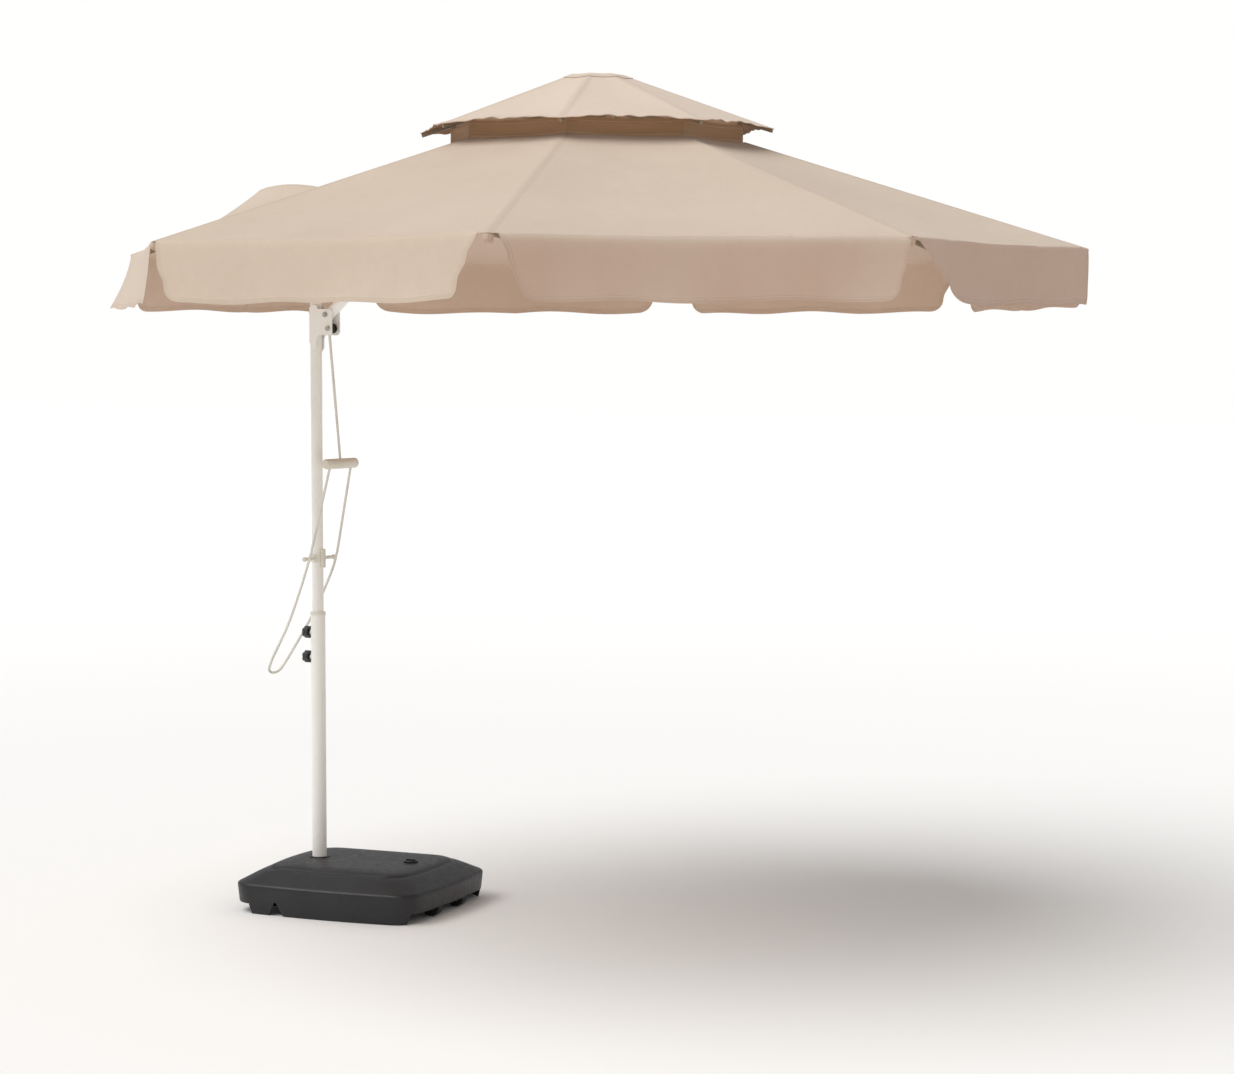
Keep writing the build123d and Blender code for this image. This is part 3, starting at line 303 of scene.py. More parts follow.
# painted shade: what hangs under the canopy is painted darker than its slot, as it would look in the canopy's
# shade, so that the inside doesn't shine through the vent
UNDER_CLOTH = ("_rib_", "strut_", "roof_link", "_hub", "centre_post", "arm_end")
for part in frame["record"]["subparts"]:
    piece = nodes[part["node"]]
    if not piece.material_slots:
        piece.data.materials.append(None)
    under_cloth = any(word in part["node"] for word in UNDER_CLOTH)
    for material_slot in piece.material_slots:
        if under_cloth:
            material_slot.material = SHADED_RIB_PAINT
        elif part["node"] == "fill_cap":
            material_slot.material = TANK_PLASTIC
        else:
            material_slot.material = COAT[part["material_slot"]]


def make_mesh(name, points, faces, material, smooth=True):
    """Links a mesh of points and faces with one material."""
    mesh = bpy.data.meshes.new(name)
    mesh.from_pydata([tuple(p) for p in points], [], faces)
    mesh.validate()
    mesh.materials.append(material)
    if smooth:
        mesh.shade_smooth()
    piece = bpy.data.objects.new(name, mesh)
    bpy.context.scene.collection.objects.link(piece)
    return piece


def write_points(piece, name, values):
    """Stores one number per point for the materials."""
    layer = piece.data.attributes.new(name, "FLOAT", "POINT")
    layer.data.foreach_set("value", values)


def write_cloth_map(piece, spots):
    """Stores the cloth's own flat coordinates, in metres, as a UV map."""
    layer = piece.data.uv_layers.new(name="cloth")
    for loop in piece.data.loops:
        layer.data[loop.index].uv = spots[loop.vertex_index]


def strip_faces(rows, count, flip=False):
    """The faces of a grid with rows strips, whose lines run from -count to count."""
    faces = []
    line = 2 * count + 1
    for row in range(rows):
        for a in range(row * line, row * line + 2 * count):
            if flip:
                faces.append((a, a + 1, a + line + 1, a + line))
            else:
                faces.append((a + line, a + line + 1, a + 1, a))
    return faces


def cloth_mesh(name, points, faces, material, seams, spots):
    """Links a mesh of cloth, with each point's distance from a seam and its place in the flat sheet."""
    piece = make_mesh(name, points, faces, material)
    write_points(piece, "seam", seams)
    write_cloth_map(piece, spots)
    return piece


def ease(t):
    """A smooth step from 0 to 1."""
    t = min(1.0, max(0.0, t))
    return t * t * (3 - 2 * t)


def through(values, t):
    """A smooth curve through evenly spaced values, for t from 0 to 1."""
    spot = min(max(t, 0.0), 1.0) * (len(values) - 1)
    first = min(int(spot), len(values) - 2)
    return values[first] + (values[first + 1] - values[first]) * ease(spot - first)


# ---- canopy ----
def azimuth(rib):
    """A rib's direction, from +X."""
    return 2 * HALF_STEP * (rib - 1) + HALF_STEP


def outward(angle):
    """The level unit vector at an angle."""
    return Vector((math.cos(angle), math.sin(angle), 0))


def panel_of(rib, side):
    """The number of the panel on one side of a rib: panel n lies between rib n and the next one."""
    return rib if side > 0 else (rib - 2) % SIDES + 1


# How far each flap's end stands from its rib at the top, a third, two thirds down and at the bottom.
FLAP_END = (0.020, 0.042, 0.072, 0.125)
FLAP_ENDS = {
    (6, 1): (0.014, 0.022, 0.050, 0.104),
    (7, -1): (0.034, 0.066, 0.098, 0.126),
    (7, 1): (0.030, 0.052, 0.078, 0.146),
    (8, -1): (0.005, 0.018, 0.036, 0.080),
    (8, 1): (0.033, 0.110, 0.200, 0.300),
    (1, -1): (0.002, 0.004, 0.008, 0.020),
}
# How far each panel's hem blows outward at its first rib, in its middle and at its second rib.
HEM_FLARE = (0.010, 0.006, 0.010)
HEM_FLARES = {
    4: (0.010, 0.016, 0.060),
    5: (0.075, 0.050, 0.012),
    6: (0.006, 0.004, 0.004),
    7: (0.008, 0.004, 0.006),
    8: (0.020, 0.004, 0.000),
}
MAIN_SAG = 0.016
HEM_BOW = 0.009
SLIT_PANEL = 4
LIFTED_RIB = 5
LIFT_HEIGHT = 0.20
LIFT_FROM = 0.75
LIFT_PEAK = 1.40
LIFT_TO = 1.50


def lift_share(radius):
    """How far the loose edge beside the slit is lifted, from 0 at both its ends to 1 at its peak."""
    if radius < LIFT_PEAK:
        share = (radius - LIFT_FROM) / (LIFT_PEAK - LIFT_FROM) / 2
    else:
        share = 0.5 + (radius - LIFT_PEAK) / (LIFT_TO - LIFT_PEAK) / 2
    return math.sin(math.pi * min(1.0, max(0.0, share))) ** 2


def creases(place, tip, strength):
    """Tension folds that fan out from a rib's tip, and the cloth's own unevenness."""
    near = place - tip
    flat = math.hypot(near.x, near.y)
    turn = math.atan2(near.y, near.x)
    fan = math.sin(turn * 17 + tip.x * 9) + 0.6 * math.sin(turn * 29 + tip.y * 7)
    fold = strength * fan * math.exp(-flat / 0.20) * ease(flat / 0.05)
    broad = noise.noise(place * 2.3) * 0.0045 + noise.noise(place * 6.1) * 0.0016
    return fold + broad


def roof_spot(rib, side, radius, across, sag, heights):
    """A point of the cloth beside a rib. across runs from 0 at the rib to 1 half way to the next one."""
    angle = azimuth(rib)
    low_r, low_z, high_r, high_z = heights
    corner = outward(angle) * radius
    middle = outward(angle + side * HALF_STEP) * radius * math.cos(HALF_STEP)
    place = corner.lerp(middle, across) + Vector((HUB_X, 0, 0))
    down = (radius - high_r) / (low_r - high_r)
    place.z = high_z + (low_z - high_z) * down
    belly = 1 - (1 - across) ** 2
    place.z -= belly * (sag * math.sin(math.pi * min(1.0, max(0.0, down))) ** 0.7 + 0.2 * sag)
    return place


def canopy_spot(rib, side, radius, across):
    """A point of the main canopy's roof."""
    heights = (TIP_R, TIP_Z, VENT_R, VENT_Z)
    place = roof_spot(rib, side, radius, across, MAIN_SAG, heights)
    tip = outward(azimuth(rib)) * TIP_R + Vector((HUB_X, 0, TIP_Z))
    lift = creases(place, tip, 0.0030 * (across * (2 - across)) * (1 - across**6))
    down = (radius - VENT_R) / (TIP_R - VENT_R)
    bow = HEM_BOW * (1 - (1 - across) ** 2) * down**6
    place -= outward(azimuth(rib) + side * HALF_STEP) * bow
    place.z += lift * ease(across / 0.08)
    if panel_of(rib, side) == SLIT_PANEL:
        rise = lift_share(radius)
        if rib == LIFTED_RIB:
            place.z += LIFT_HEIGHT * rise * across**1.2
            place.y -= 0.06 * rise * across**2
        else:
            place.z += 0.015 * rise * across**2
    return place


def flap_end(rib, side, down):
    """How far a flap's end stands from the rib, rounded into its bottom edge."""
    ends = FLAP_ENDS.get((rib, side), FLAP_END)
    bend = 0.74
    if down <= bend:
        return through(ends[:3], down / bend)
    turn = (down - bend) / (1 - bend)
    return ends[2] + (ends[3] - ends[2]) * (1 - math.sqrt(max(0.0, 1 - turn * turn)))


def hem_flare(rib, side, across):
    """How far the flap's bottom stands out at a place across it, the same from either side of the panel."""
    panel = panel_of(rib, side)
    place = across / 2 if side > 0 else 1 - across / 2
    flare = through(HEM_FLARES.get(panel, HEM_FLARE), place)
    return flare + 0.0055 * math.sin(2 * math.pi * (1.6 * place + 0.37 * panel)) + 0.002 * math.sin(
        2 * math.pi * (4.3 * place + 0.61 * panel)
    )


def valance_spot(rib, side, across, down):
    """A point of the hanging flap, down from 0 at the fold to 1 at the bottom hem."""
    place = canopy_spot(rib, side, TIP_R, across)
    away = outward(azimuth(rib) + side * HALF_STEP)
    fold = 0.005 * (1 - math.exp(-down / 0.06))
    place += away * (fold + hem_flare(rib, side, across) * down**1.5)
    place.z -= VALANCE * down
    place.z += 0.004 * down * math.sin(9 * across + 2 * rib + side)
    return place


ROOF_ROWS = [0, 0.012, 0.03] + [0.03 + 0.93 * i / 30 for i in range(1, 31)] + [0.98, 0.993, 1.0]
FLAP_ROWS = [0.03, 0.07, 0.12, 0.2, 0.29, 0.38, 0.47, 0.56, 0.65, 0.74]
FLAP_ROWS += [0.74 + 0.26 * math.sin(math.pi / 2 * i / 7) for i in range(1, 8)]
FLAP_COLUMNS = 26
ROOF_LEAD = 3


def canopy_sheet(rib):
    """One rib's share of the main canopy: roof half way to each neighbour, with its two half flaps."""
    points = []
    spots = []
    seams = []
    faces = []
    half_side = TIP_R * math.sin(HALF_STEP)

    def add(place, spot, seam):
        points.append(place)
        spots.append(spot)
        seams.append(seam)
        return len(points) - 1

    middle = []
    for row in ROOF_ROWS:
        radius = VENT_R + (TIP_R - VENT_R) * row
        rib_line = canopy_spot(rib, 1, radius, 0.0)
        middle.append(add(rib_line, (0.0, radius), 0.0))
    for side in (-1, 1):
        first = flap_end(rib, side, 0.0) / half_side
        lead = [first * (i + 1) / ROOF_LEAD for i in range(ROOF_LEAD - 1)] if first > 0.004 else []
        slit = panel_of(rib, side) == SLIT_PANEL
        limit = 1.0 - (0.0002 / half_side if slit else 0.0)
        columns = lead + [first + (limit - first) * (i / FLAP_COLUMNS) for i in range(FLAP_COLUMNS + 1)]
        grid = []
        for number, row in enumerate(ROOF_ROWS):
            radius = VENT_R + (TIP_R - VENT_R) * row
            line = [middle[number]]
            for across in columns:
                width = radius * math.sin(HALF_STEP)
                edge = min(across * width, (radius - VENT_R) * 1.0)
                if slit:
                    edge = min(edge, (limit - across) * width)
                spot = (side * across * width, radius)
                line.append(add(canopy_spot(rib, side, radius, across), spot, edge))
            grid.append(line)
        last = [grid[-1][len(lead) + 1 + i] for i in range(FLAP_COLUMNS + 1)]
        for upper, lower in zip(grid, grid[1:]):
            for a, b, c, d in zip(upper, upper[1:], lower[1:], lower):
                faces.append((a, b, c, d) if side < 0 else (d, c, b, a))
        for row in FLAP_ROWS:
            end = flap_end(rib, side, row) / half_side
            line = []
            for i in range(FLAP_COLUMNS + 1):
                across = end + (limit - end) * (i / FLAP_COLUMNS)
                edge = min((across - end) * half_side, (1 - row) * VALANCE)
                if slit:
                    edge = min(edge, (limit - across) * half_side)
                spot = (side * across * half_side, TIP_R + row * VALANCE)
                line.append(add(valance_spot(rib, side, across, row), spot, edge))
            for a, b, c, d in zip(last, last[1:], line[1:], line):
                faces.append((a, b, c, d) if side < 0 else (d, c, b, a))
            last = line
    piece = cloth_mesh(f"canopy_sheet_{rib}", points, faces, CLOTH_TOP, seams, spots)
    return thicken(piece, hem=[ease((HEM - seam) / 0.002) for seam in seams], inside=CLOTH_SHADED_INSIDE)


def thicken(piece, thickness=CLOTH, hem=None, inside=None):
    """Gives a sheet its thickness, inward from its outer face. Where hem is 1 the cloth is doubled."""
    layer = piece.modifiers.new("thickness", "SOLIDIFY")
    layer.thickness = thickness
    layer.offset = -1
    if inside:
        piece.data.materials.append(inside)
        layer.material_offset = 1
    if hem:
        group = piece.vertex_groups.new(name="hem")
        for index, share in enumerate(hem):
            group.add([index], share, "REPLACE")
        layer.vertex_group = group.name
        layer.thickness = 2.2 * thickness
        layer.thickness_vertex_group = 0.45
    crisp = piece.modifiers.new("crisp_rim", "EDGE_SPLIT")
    crisp.split_angle = math.radians(55)
    return piece


TAB_HALF = 0.016
TAB_HEIGHT = 0.022
TAB_ROWS = 9
TAB_COUNT = 8
TAB_ROUND = 0.7


def corner_tab(rib):
    """The small pocket sewn under the corner, which takes the rib's tip."""
    angle = azimuth(rib)
    away = outward(angle)
    sideways = outward(angle + math.pi / 2)
    points = []
    seams = []
    spots = []
    for row in range(TAB_ROWS + 1):
        down = row / TAB_ROWS
        rounding = 1 if down < TAB_ROUND else math.sqrt(1 - ((down - TAB_ROUND) / 0.33) ** 2)
        for i in range(-TAB_COUNT, TAB_COUNT + 1):
            t = i / TAB_COUNT
            width = TAB_HALF * (1 - 0.25 * down) * rounding
            reach = TIP_R + 0.003 - 0.009 * t * t - 0.005 * down * down
            drop = 0.002 + TAB_HEIGHT * down + 0.004 * t * t
            place = Vector((HUB_X, 0, TIP_Z)) + away * reach + sideways * (width * t)
            place.z -= drop
            points.append(place)
            seams.append(min((1 - down) * TAB_HEIGHT, (1 - abs(t)) * TAB_HALF + 0.002))
            spots.append((width * t, TAB_HEIGHT * down))
    faces = strip_faces(TAB_ROWS, TAB_COUNT)
    piece = cloth_mesh(f"corner_tab_{rib}", points, faces, CLOTH_TOP, seams, spots)
    thicken(piece)
    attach(piece, f"rib_{rib}")
    return piece


# the brown sheet of painted shade in the vent gap
SHADE_SHEET_ROWS = 6
SHADE_SHEET_COUNT = 16
SHADE_SHEET_GAP = 0.022
SHADE_SHEET_LAP = 0.004


def vent_shade_sheet(rib):
    """One rib's share of a brown sheet of painted shade from the canopy's upper edge to the top roof,
    standing in for the shade seen in the vent. It is a guess.
    """
    points = []
    seams = []
    spots = []
    rise = (ROOF_R - SHADE_SHEET_R) / (ROOF_R - CROWN_R) * (CROWN_Z - ROOF_Z)
    top_z = ROOF_Z + rise - SHADE_SHEET_GAP
    low_z = VENT_Z - SHADE_SHEET_LAP
    for row in range(SHADE_SHEET_ROWS + 1):
        up = row / SHADE_SHEET_ROWS
        for i in range(-SHADE_SHEET_COUNT, SHADE_SHEET_COUNT + 1):
            side = -1 if i < 0 else 1
            across = abs(i) / SHADE_SHEET_COUNT
            corner = outward(azimuth(rib)) * SHADE_SHEET_R
            middle = outward(azimuth(rib) + side * HALF_STEP) * SHADE_SHEET_R * math.cos(HALF_STEP)
            belly = 1 - (1 - across) ** 2
            place = corner.lerp(middle, across) * (1 - 0.025 * math.sin(math.pi * up) * belly)
            drop = belly * 0.006
            points.append(place + Vector((HUB_X, 0, low_z + (top_z - low_z) * up - drop)))
            seams.append(min(up, 1 - up) * (top_z - low_z))
            spots.append((side * across * SHADE_SHEET_R * math.sin(HALF_STEP), up * (top_z - low_z)))
    faces = strip_faces(SHADE_SHEET_ROWS, SHADE_SHEET_COUNT, flip=True)
    piece = cloth_mesh(f"vent_shade_sheet_{rib}", points, faces, ROOF_SHADED_INSIDE, seams, spots)
    thicken(piece)
    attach(piece, f"rib_{rib}")
    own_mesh(piece)
    return piece


# each rib's canopy sheet, corner tab and sheet of painted shade in the vent
for rib in range(1, SIDES + 1):
    sheet = canopy_sheet(rib)
    tab = corner_tab(rib)
    # the brown sheet of painted shade in the vent
    shade_piece = vent_shade_sheet(rib)
    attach(sheet, f"rib_{rib}")
    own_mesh(sheet)
    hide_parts("main_canopy")


# ---- top roof ----
ROOF_SAG = 0.007
WAVE = 0.0022
ROOF_BOW = 0.012
TOP_ROWS = [i / 16 for i in range(15)] + [0.92, 0.95, 0.975, 0.99, 1.0]
TOP_COUNT = 22


def top_spot(rib, side, radius, across):
    """A point of the top roof, whose hem is a little wavy between the ribs."""
    heights = (ROOF_R, ROOF_Z, CROWN_R, CROWN_Z)
    place = roof_spot(rib, side, radius, across, ROOF_SAG, heights)
    down = (radius - CROWN_R) / (ROOF_R - CROWN_R)
    panel = panel_of(rib, side)
    spot = across / 2 if side > 0 else 1 - across / 2
    wave = math.sin(2 * math.pi * (2.3 * spot + 0.23 * panel))
    wave += 0.8 * math.sin(2 * math.pi * (7.1 * spot + 0.4 * panel))
    wave += 1.6 * noise.noise(Vector((9 * spot, panel, 0)))
    belly = 1 - (1 - across) ** 2
    hem = ease((down - 0.86) / 0.14)
    place.z += WAVE * wave * hem * belly + ROOF_BOW * belly * down**5
    place -= outward(azimuth(rib) + side * HALF_STEP) * ROOF_BOW * belly * down**5
    place.z += 0.3 * creases(place, place, 0.0) * ease(across / 0.1)
    return place


def top_sheet(rib):
    """One rib's share of the top roof."""
    points = []
    spots = []
    seams = []
    for row in TOP_ROWS:
        radius = CROWN_R + (ROOF_R - CROWN_R) * row
        width = radius * math.sin(HALF_STEP)
        for i in range(-TOP_COUNT, TOP_COUNT + 1):
            side = -1 if i < 0 else 1
            across = abs(i) / TOP_COUNT
            points.append(top_spot(rib, side, radius, across))
            spots.append((side * across * width, radius))
            seams.append(min(across * width, ROOF_R - radius))
    faces = strip_faces(len(TOP_ROWS) - 1, TOP_COUNT)
    piece = cloth_mesh(f"top_sheet_{rib}", points, faces, ROOF_CLOTH, seams, spots)
    return thicken(piece, hem=[ease((HEM - seam) / 0.002) for seam in seams], inside=ROOF_SHADED_INSIDE)


for rib in range(1, SIDES + 1):
    sheet = top_sheet(rib)
    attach(sheet, f"roof_rib_{rib}")
    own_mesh(sheet)
    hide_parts("top_canopy")


CAP_SKIRT = 0.030
CAP_CLEAR = 0.0018
CAP_RISE = 0.0006
CAP_STEPS = 8


def crown_cap():
    """The flat top patch, sewn on over the panels' ends, with a short skirt down the slope."""
    points = []
    faces = []
    seams = []
    spots = []
    rings = (0.001, 0.03, 0.06, 0.078, CROWN_R - 0.003)
    rings += (CROWN_R, CROWN_R + 0.004, CROWN_R + 0.014, CROWN_R + CAP_SKIRT)
    turns = CAP_STEPS * SIDES
    for radius in rings:
        for turn in range(turns):
            share = turn / CAP_STEPS % 1
            side = 1 if share <= 0.5 else -1
            rib = (turn // CAP_STEPS + (0 if side > 0 else 1)) % SIDES + 1
            place = top_spot(rib, side, max(radius, CROWN_R), min(share, 1 - share) * 2)
            if radius < CROWN_R:
                place = Vector((HUB_X, 0, place.z)).lerp(place, radius / CROWN_R)
            place.z += CAP_CLEAR + CAP_RISE * (1 - min(1.0, radius / CROWN_R))
            points.append(place)
            seams.append(rings[-1] - radius)
            spots.append((place.x - HUB_X, place.y))
    for ring in range(len(rings) - 1):
        for turn in range(turns):
            a = ring * turns + turn
            b = ring * turns + (turn + 1) % turns
            faces.append((a, a + turns, b + turns, b))
    return cloth_mesh("crown_patch", points, faces, ROOF_CLOTH, seams, spots)


cap = thicken(crown_cap())
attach(cap, "mast")
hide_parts("top_canopy")


# ---- ropes ----
BRAID_STEP = 0.0016
BRAID_AROUND = 20
BRAID_PITCH = 0.026
BRAID_RELIEF = 0.00045
BRAID_STRANDS = 4


def braid(name, route):
    """A braided cord along the smooth curve of the route's points."""
    line = bpy.data.curves.new(name + "_line", "CURVE")
    line.dimensions = "3D"
    line.resolution_u = 48
    spline = line.splines.new("NURBS")
    spline.points.add(len(route) - 1)
    for point, place in zip(spline.points, route):
        point.co = (*place, 1.0)
    spline.order_u = 3
    spline.use_endpoint_u = True
    holder = bpy.data.objects.new(name + "_line", line)
    bpy.context.scene.collection.objects.link(holder)
    bpy.context.view_layer.update()
    sampled = bpy.data.meshes.new_from_object(holder)
    raw = [v.co.copy() for v in sampled.vertices]
    bpy.data.objects.remove(holder)
    bpy.data.meshes.remove(sampled)
    # even steps along the curve
    path = [raw[0]]
    for before, after in zip(raw, raw[1:]):
        while (after - path[-1]).length >= BRAID_STEP:
            path.append(path[-1] + (after - path[-1]).normalized() * BRAID_STEP)
    path.append(raw[-1])
    points = []
    depths = []
    faces = []
    normal = Vector((0, 1, 0))
    for number, place in enumerate(path):
        ahead = path[min(number + 1, len(path) - 1)] - path[max(number - 1, 0)]
        ahead.normalize()
        normal = (normal - ahead * normal.dot(ahead)).normalized()
        side = ahead.cross(normal)
        twist = 2 * math.pi * (number * BRAID_STEP) / BRAID_PITCH * BRAID_STRANDS / 2
        for i in range(BRAID_AROUND):
            turn = 2 * math.pi * i / BRAID_AROUND
            first = math.cos(BRAID_STRANDS * turn + twist)
            second = math.cos(BRAID_STRANDS * turn - twist)
            high = (max(first, second) + 1) / 2
            radius = ROPE / 2 - BRAID_RELIEF * (1 - high)
            points.append(place + (normal * math.cos(turn) + side * math.sin(turn)) * radius)
            depths.append(high)
        if number:
            for i in range(BRAID_AROUND):
                a = (number - 1) * BRAID_AROUND + i
                b = (number - 1) * BRAID_AROUND + (i + 1) % BRAID_AROUND
                faces.append((a, b, b + BRAID_AROUND, a + BRAID_AROUND))
    faces.append(tuple(reversed(range(BRAID_AROUND))))
    faces.append(tuple(range(len(points) - BRAID_AROUND, len(points))))
    piece = make_mesh(name, points, faces, CORD_WEAVE)
    write_points(piece, "groove", depths)
    return piece, path


PULL_ROUTE = [
    (0.078, 0, 1.957),
    (0.0515, 0, 1.932),
    (0.0569, 0, 1.878),
    (0.098, 0, 1.471),
]
LOOP_ROUTE = [
    (0.098, -0.055, 1.453),
    (0.040, -0.0672, 1.216),
    (0.027, -0.070, 1.163),
    (0.008, -0.071, 1.110),
    (-0.016, -0.069, 1.052),
    (-0.046, -0.065, 0.988),
    (-0.080, -0.060, 0.922),
    (-0.125, -0.053, 0.855),
    (-0.168, -0.044, 0.795),
    (-0.193, -0.027, 0.757),
    (-0.192, 0.024, 0.752),
    (-0.172, 0.044, 0.792),
    (-0.134, 0.052, 0.852),
    (-0.096, 0.058, 0.912),
    (-0.058, 0.064, 0.976),
    (-0.025, 0.068, 1.042),
    (0.007, 0.071, 1.107),
    (0.027, 0.070, 1.163),
    (0.040, 0.0672, 1.216),
    (0.098, 0.055, 1.453),
]
for name, node, route, length, lay in (
    ("pull_cord", "pull_rope", PULL_ROUTE, 0.499, "taut"),
    ("tie_loop", "rope_loop", LOOP_ROUTE, 1.578, "hanging"),
):
    cord, path = braid(name, route)
    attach(cord, "mast")
    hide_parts(node)


# ---- base tank ----
YAW = math.radians(10)
BASE_CENTRE = Vector((0.14795, 0.03624, 0))
HALF_U = 0.345
HALF_V = 0.310
BOW_U = 0.020
BOW_V = 0.022
SKIRT_V = 0.256
RAISED = 0.032
TANK_WALL = 0.004
# height, how far in from the widest outline, corner radius and how far the long sides are drawn in half way
TANK_LEVELS = [
    (0.088, 0.0000, 0.058, 0.0),
    (0.0935, 0.0012, 0.058, 0.0),
    (0.0975, 0.0052, 0.058, 0.0),
    (0.1005, 0.0110, 0.058, 0.001),
    (0.1100, 0.0270, 0.057, 0.003),
    (0.1200, 0.0440, 0.056, 0.006),
    (0.1290, 0.0600, 0.056, 0.010),
    (0.1325, 0.0680, 0.056, 0.012),
    (0.1340, 0.0730, 0.056, 0.014),
    (0.1345, 0.0770, 0.056, 0.015),
    (0.1365, 0.0800, 0.056, 0.016),
    (0.1400, 0.0830, 0.056, 0.017),
    (0.1435, 0.0900, 0.056, 0.020),
    (0.1462, 0.1020, 0.056, 0.024),
    (0.1480, 0.1180, 0.056, 0.030),
    (0.1491, 0.1350, 0.054, 0.034),
    (0.1498, 0.1600, 0.050, 0.030),
    (0.1500, 0.2000, 0.040, 0.020),
    (0.1500, 0.2600, 0.020, 0.005),
]
NOTCH = (-0.192, -0.163, -0.136)
NOTCH_HEIGHT = 0.044
END_FOOT = -0.262
WHEEL_END = 0.318
SIDE_POINTS = 29
# where the long sides' outline must have a point: at the end foot, round the notch, and then evenly
SIDE_BREAKS = [END_FOOT - 0.003, END_FOOT + 0.003, NOTCH[0] - 0.016]
SIDE_BREAKS += [NOTCH[0] - 0.004, NOTCH[0] + 0.001, NOTCH[1] - 0.003, NOTCH[1] + 0.003]
SIDE_BREAKS += [NOTCH[2] - 0.001, NOTCH[2] + 0.004, NOTCH[2] + 0.02] + [0.03 * i for i in range(-3, 9)]
DRAFT = 0.024
UNDER_INSET = 0.012
UNDER_CORNER = 0.05
COLUMN_RINGS = ((0.0, 0.0), (0.033, 0.0), (0.036, 0.003), (0.036, RAISED))
COLUMN_TURNS = 40


def base_place(u, v, z):
    """A point of the base, from its own length and width directions."""
    c = math.cos(YAW)
    s = math.sin(YAW)
    return BASE_CENTRE + Vector((u * c - v * s, u * s + v * c, z))


def tank_outline(inset, corner, waist):
    """The outline of the tank at one level, as the same number of (u, v) points each time."""
    a = HALF_U - BOW_U - inset
    b = HALF_V - BOW_V - inset
    flat_a = a - corner
    side_u = [-flat_a] + [u for u in SIDE_BREAKS if abs(u) < flat_a - 0.002] + [flat_a]
    while len(side_u) < SIDE_POINTS:
        gaps = [after - before for before, after in zip(side_u, side_u[1:])]
        widest = gaps.index(max(gaps))
        side_u.insert(widest + 1, (side_u[widest] + side_u[widest + 1]) / 2)
    side_v = [i / 8 for i in range(-8, 9)]
    arc = [math.pi / 2 * i / 8 for i in range(1, 8)]
    flat_b = b - corner
    outline = [(u, -b) for u in side_u]
    outline += [(flat_a + corner * math.sin(t), -flat_b - corner * math.cos(t)) for t in arc]
    outline += [(a, t * flat_b) for t in side_v]
    outline += [(flat_a + corner * math.cos(t), flat_b + corner * math.sin(t)) for t in arc]
    outline += [(u, b) for u in reversed(side_u)]
    outline += [(-flat_a - corner * math.sin(t), flat_b + corner * math.cos(t)) for t in arc]
    outline += [(-a, -t * flat_b) for t in side_v]
    outline += [(-flat_a - corner * math.cos(t), -flat_b - corner * math.sin(t)) for t in arc]
    bowed = []
    for u, v in outline:
        out_v = (BOW_V - waist) * (1 - (u / a) ** 2) * abs(v) / b
        out_u = BOW_U * (1 - (v / b) ** 2) * abs(u) / a
        bowed.append((u + math.copysign(out_u, u), v + math.copysign(out_v, v)))
    return bowed


def lower_edge(u, v):
    """How high the tank's lower edge is: down to the floor along both long skirts, but not at the ends."""
    if abs(v) < SKIRT_V or u < END_FOOT or u > WHEEL_END:
        return RAISED
    start, peak, end = NOTCH
    if start < u < end:
        return NOTCH_HEIGHT * min(1.0, 1.25 * (1 - abs(u - peak) / (end - start) * 2))
    return 0.0


def base_shell():
    """The blow-moulded tank's outside, with its skirts, notches and raised ends."""
    points = []
    faces = []
    rim = tank_outline(0.0, TANK_LEVELS[0][2], 0.0)
    foot = [lower_edge(u, v) for u, v in rim]
    top_z = TANK_LEVELS[0][0]
    count = len(rim)
    for share in (0.0, 0.06, 0.15, 0.35, 0.6, 0.85):
        for (u, v), low in zip(rim, foot):
            z = low + (top_z - low) * share
            draft = 1 - DRAFT * (top_z - z) / top_z - (0.004 if share == 0.0 else 0.0)
            points.append(base_place(u * draft, v * draft, z))
    for z, inset, corner, waist in TANK_LEVELS:
        for u, v in tank_outline(inset, corner, waist):
            points.append(base_place(u, v, z))
    rows = len(points) // count
    for row in range(rows - 1):
        for i in range(count):
            a = row * count + i
            b = row * count + (i + 1) % count
            faces.append((a, b, b + count, a + count))
    faces.append(tuple(range((rows - 1) * count, rows * count)))
    return make_mesh("base_shell", points, faces, TANK_PLASTIC)


shell = thicken(base_shell(), TANK_WALL)
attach(shell, "base")
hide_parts("base_tank", "ballast_fill")


def base_underside():
    """The tank's flat underside, which is a guess, and the column under the mast, down to the floor."""
    outline = tank_outline(UNDER_INSET, UNDER_CORNER, 0.0)
    points = [base_place(u, v, RAISED) for u, v in outline]
    faces = [tuple(reversed(range(len(points))))]
    for radius, z in COLUMN_RINGS:
        for turn in range(COLUMN_TURNS):
            angle = 2 * math.pi * turn / COLUMN_TURNS
            points.append(Vector((radius * math.cos(angle), radius * math.sin(angle), z)))
    for ring in range(len(COLUMN_RINGS) - 1):
        start = len(outline) + ring * COLUMN_TURNS
        for turn in range(COLUMN_TURNS):
            a = start + turn
            b = start + (turn + 1) % COLUMN_TURNS
            faces.append((a, b, b + COLUMN_TURNS, a + COLUMN_TURNS))
    return make_mesh("base_underside", points, faces, TANK_PLASTIC, smooth=False)


underside = base_underside()
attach(underside, "base")


# ---- studio ----
FLOOR_REACH = 60
FLOOR_DROP = 0.0005
FLOOR_FADE = (4.0, 16.0)
FLOOR_GLOW = 0.14
SKY_LIGHT = 0.44
SKY_SEEN = 1.0
SUN_ENERGY = 2.1
SUN_ANGLE = 55
CAMERA_LENS = 84.6
CAMERA_PLACE = (6.0217, -7.5227, 1.8467)
CAMERA_HEADING = 32.767
CAMERA_PITCH = -3.757


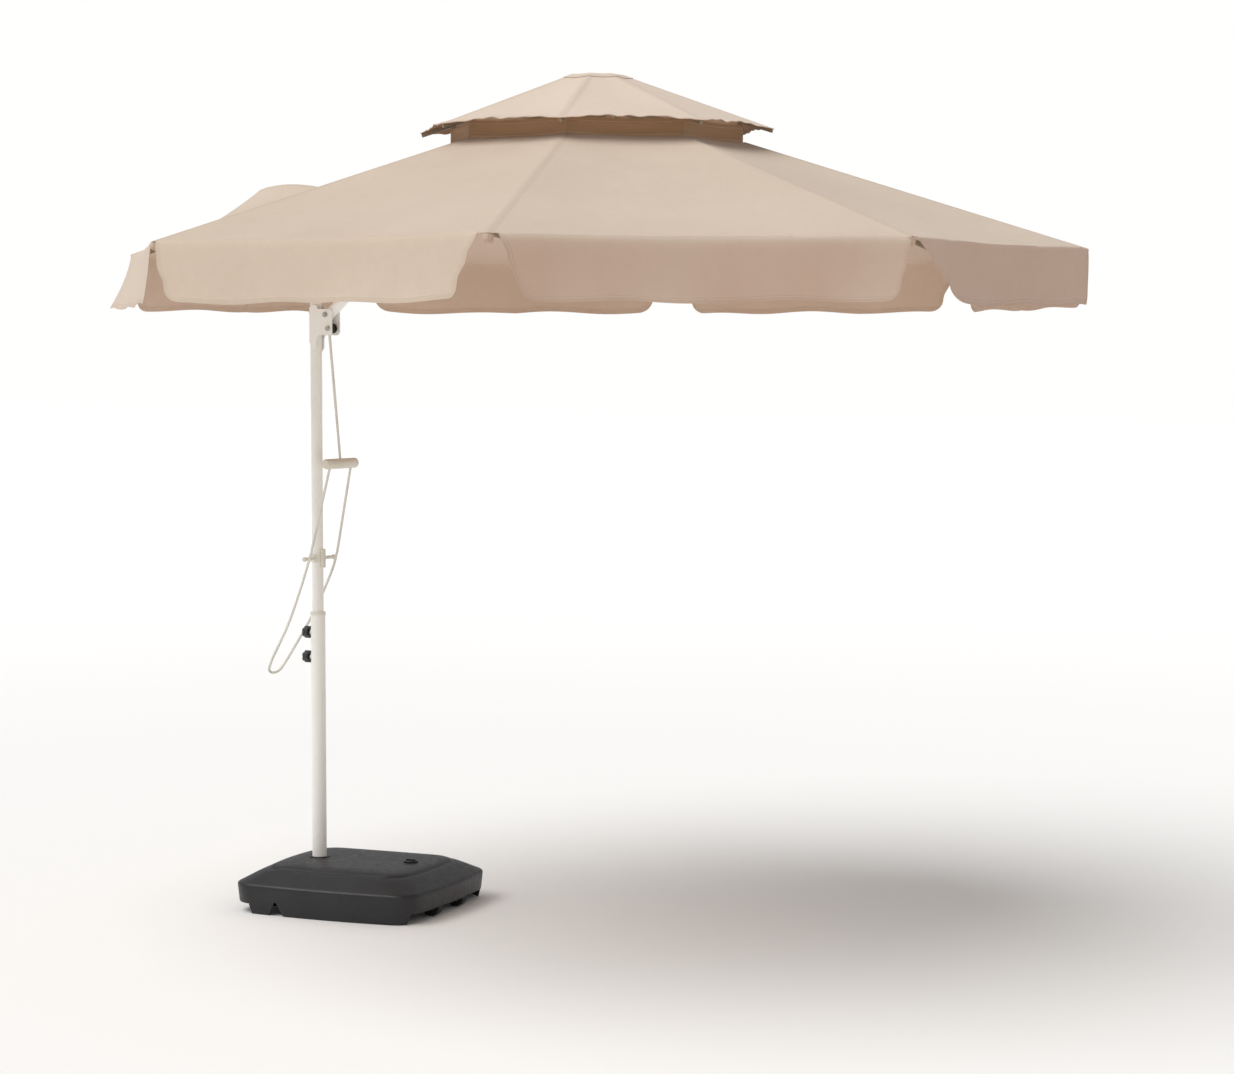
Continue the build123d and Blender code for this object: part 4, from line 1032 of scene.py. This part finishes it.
def stage_floor():
    """A plain pale floor that glows a little far out, so that it meets the backdrop without an edge."""
    s = Shader("pale_floor")
    place = s.add("TexCoord").outputs["Object"]
    tone = s.mix(s.noise(place, 0.4), (0.94, 0.94, 0.94, 1), (0.955, 0.955, 0.955, 1))
    distance = s.add("VectorMath", {0: place}, operation="LENGTH").outputs["Value"]
    floor_material = s.finish(
        Base_Color=tone,
        Roughness=0.9,
        Emission_Color=(1.0, 1.0, 1.0, 1),
        Emission_Strength=s.spread(distance, *FLOOR_FADE, 0.0, FLOOR_GLOW),
    )
    corners = [(x * FLOOR_REACH, y * FLOOR_REACH, 0) for x, y in ((-1, -1), (1, -1), (1, 1), (-1, 1))]
    floor = make_mesh("floor", corners, [(0, 1, 2, 3)], floor_material, smooth=False)
    floor.location.z = -FLOOR_DROP


stage_floor()
scene = bpy.context.scene
world = bpy.data.worlds.new("studio")
world.use_nodes = True
backdrop = world.node_tree.nodes["Background"]
backdrop.inputs[0].default_value = (1.0, 0.998, 0.992, 1)
# the camera sees a whiter backdrop than the one that lights the scene
seen = world.node_tree.nodes.new("ShaderNodeLightPath")
level = world.node_tree.nodes.new("ShaderNodeMapRange")
level.inputs[3].default_value = SKY_LIGHT
level.inputs[4].default_value = SKY_SEEN
world.node_tree.links.new(seen.outputs["Is Camera Ray"], level.inputs[0])
world.node_tree.links.new(level.outputs[0], backdrop.inputs[1])
scene.world = world
scene.view_settings.view_transform = "Standard"

sun = bpy.data.lights.new("key", "SUN")
sun.energy = SUN_ENERGY
sun.angle = math.radians(SUN_ANGLE)
sun.color = (1.0, 0.985, 0.96)
sun_holder = bpy.data.objects.new("key", sun)
sun_holder.rotation_euler = (-SUN_FROM).to_track_quat("-Z", "Y").to_euler()
scene.collection.objects.link(sun_holder)

camera_data = bpy.data.cameras.new("camera")
camera_data.lens = CAMERA_LENS
camera_data.sensor_width = 36
camera_data.clip_end = 200
camera = bpy.data.objects.new("camera", camera_data)
camera.location = CAMERA_PLACE
camera.rotation_euler = (math.pi / 2 + math.radians(CAMERA_PITCH), 0, math.radians(CAMERA_HEADING))
scene.collection.objects.link(camera)
scene.camera = camera
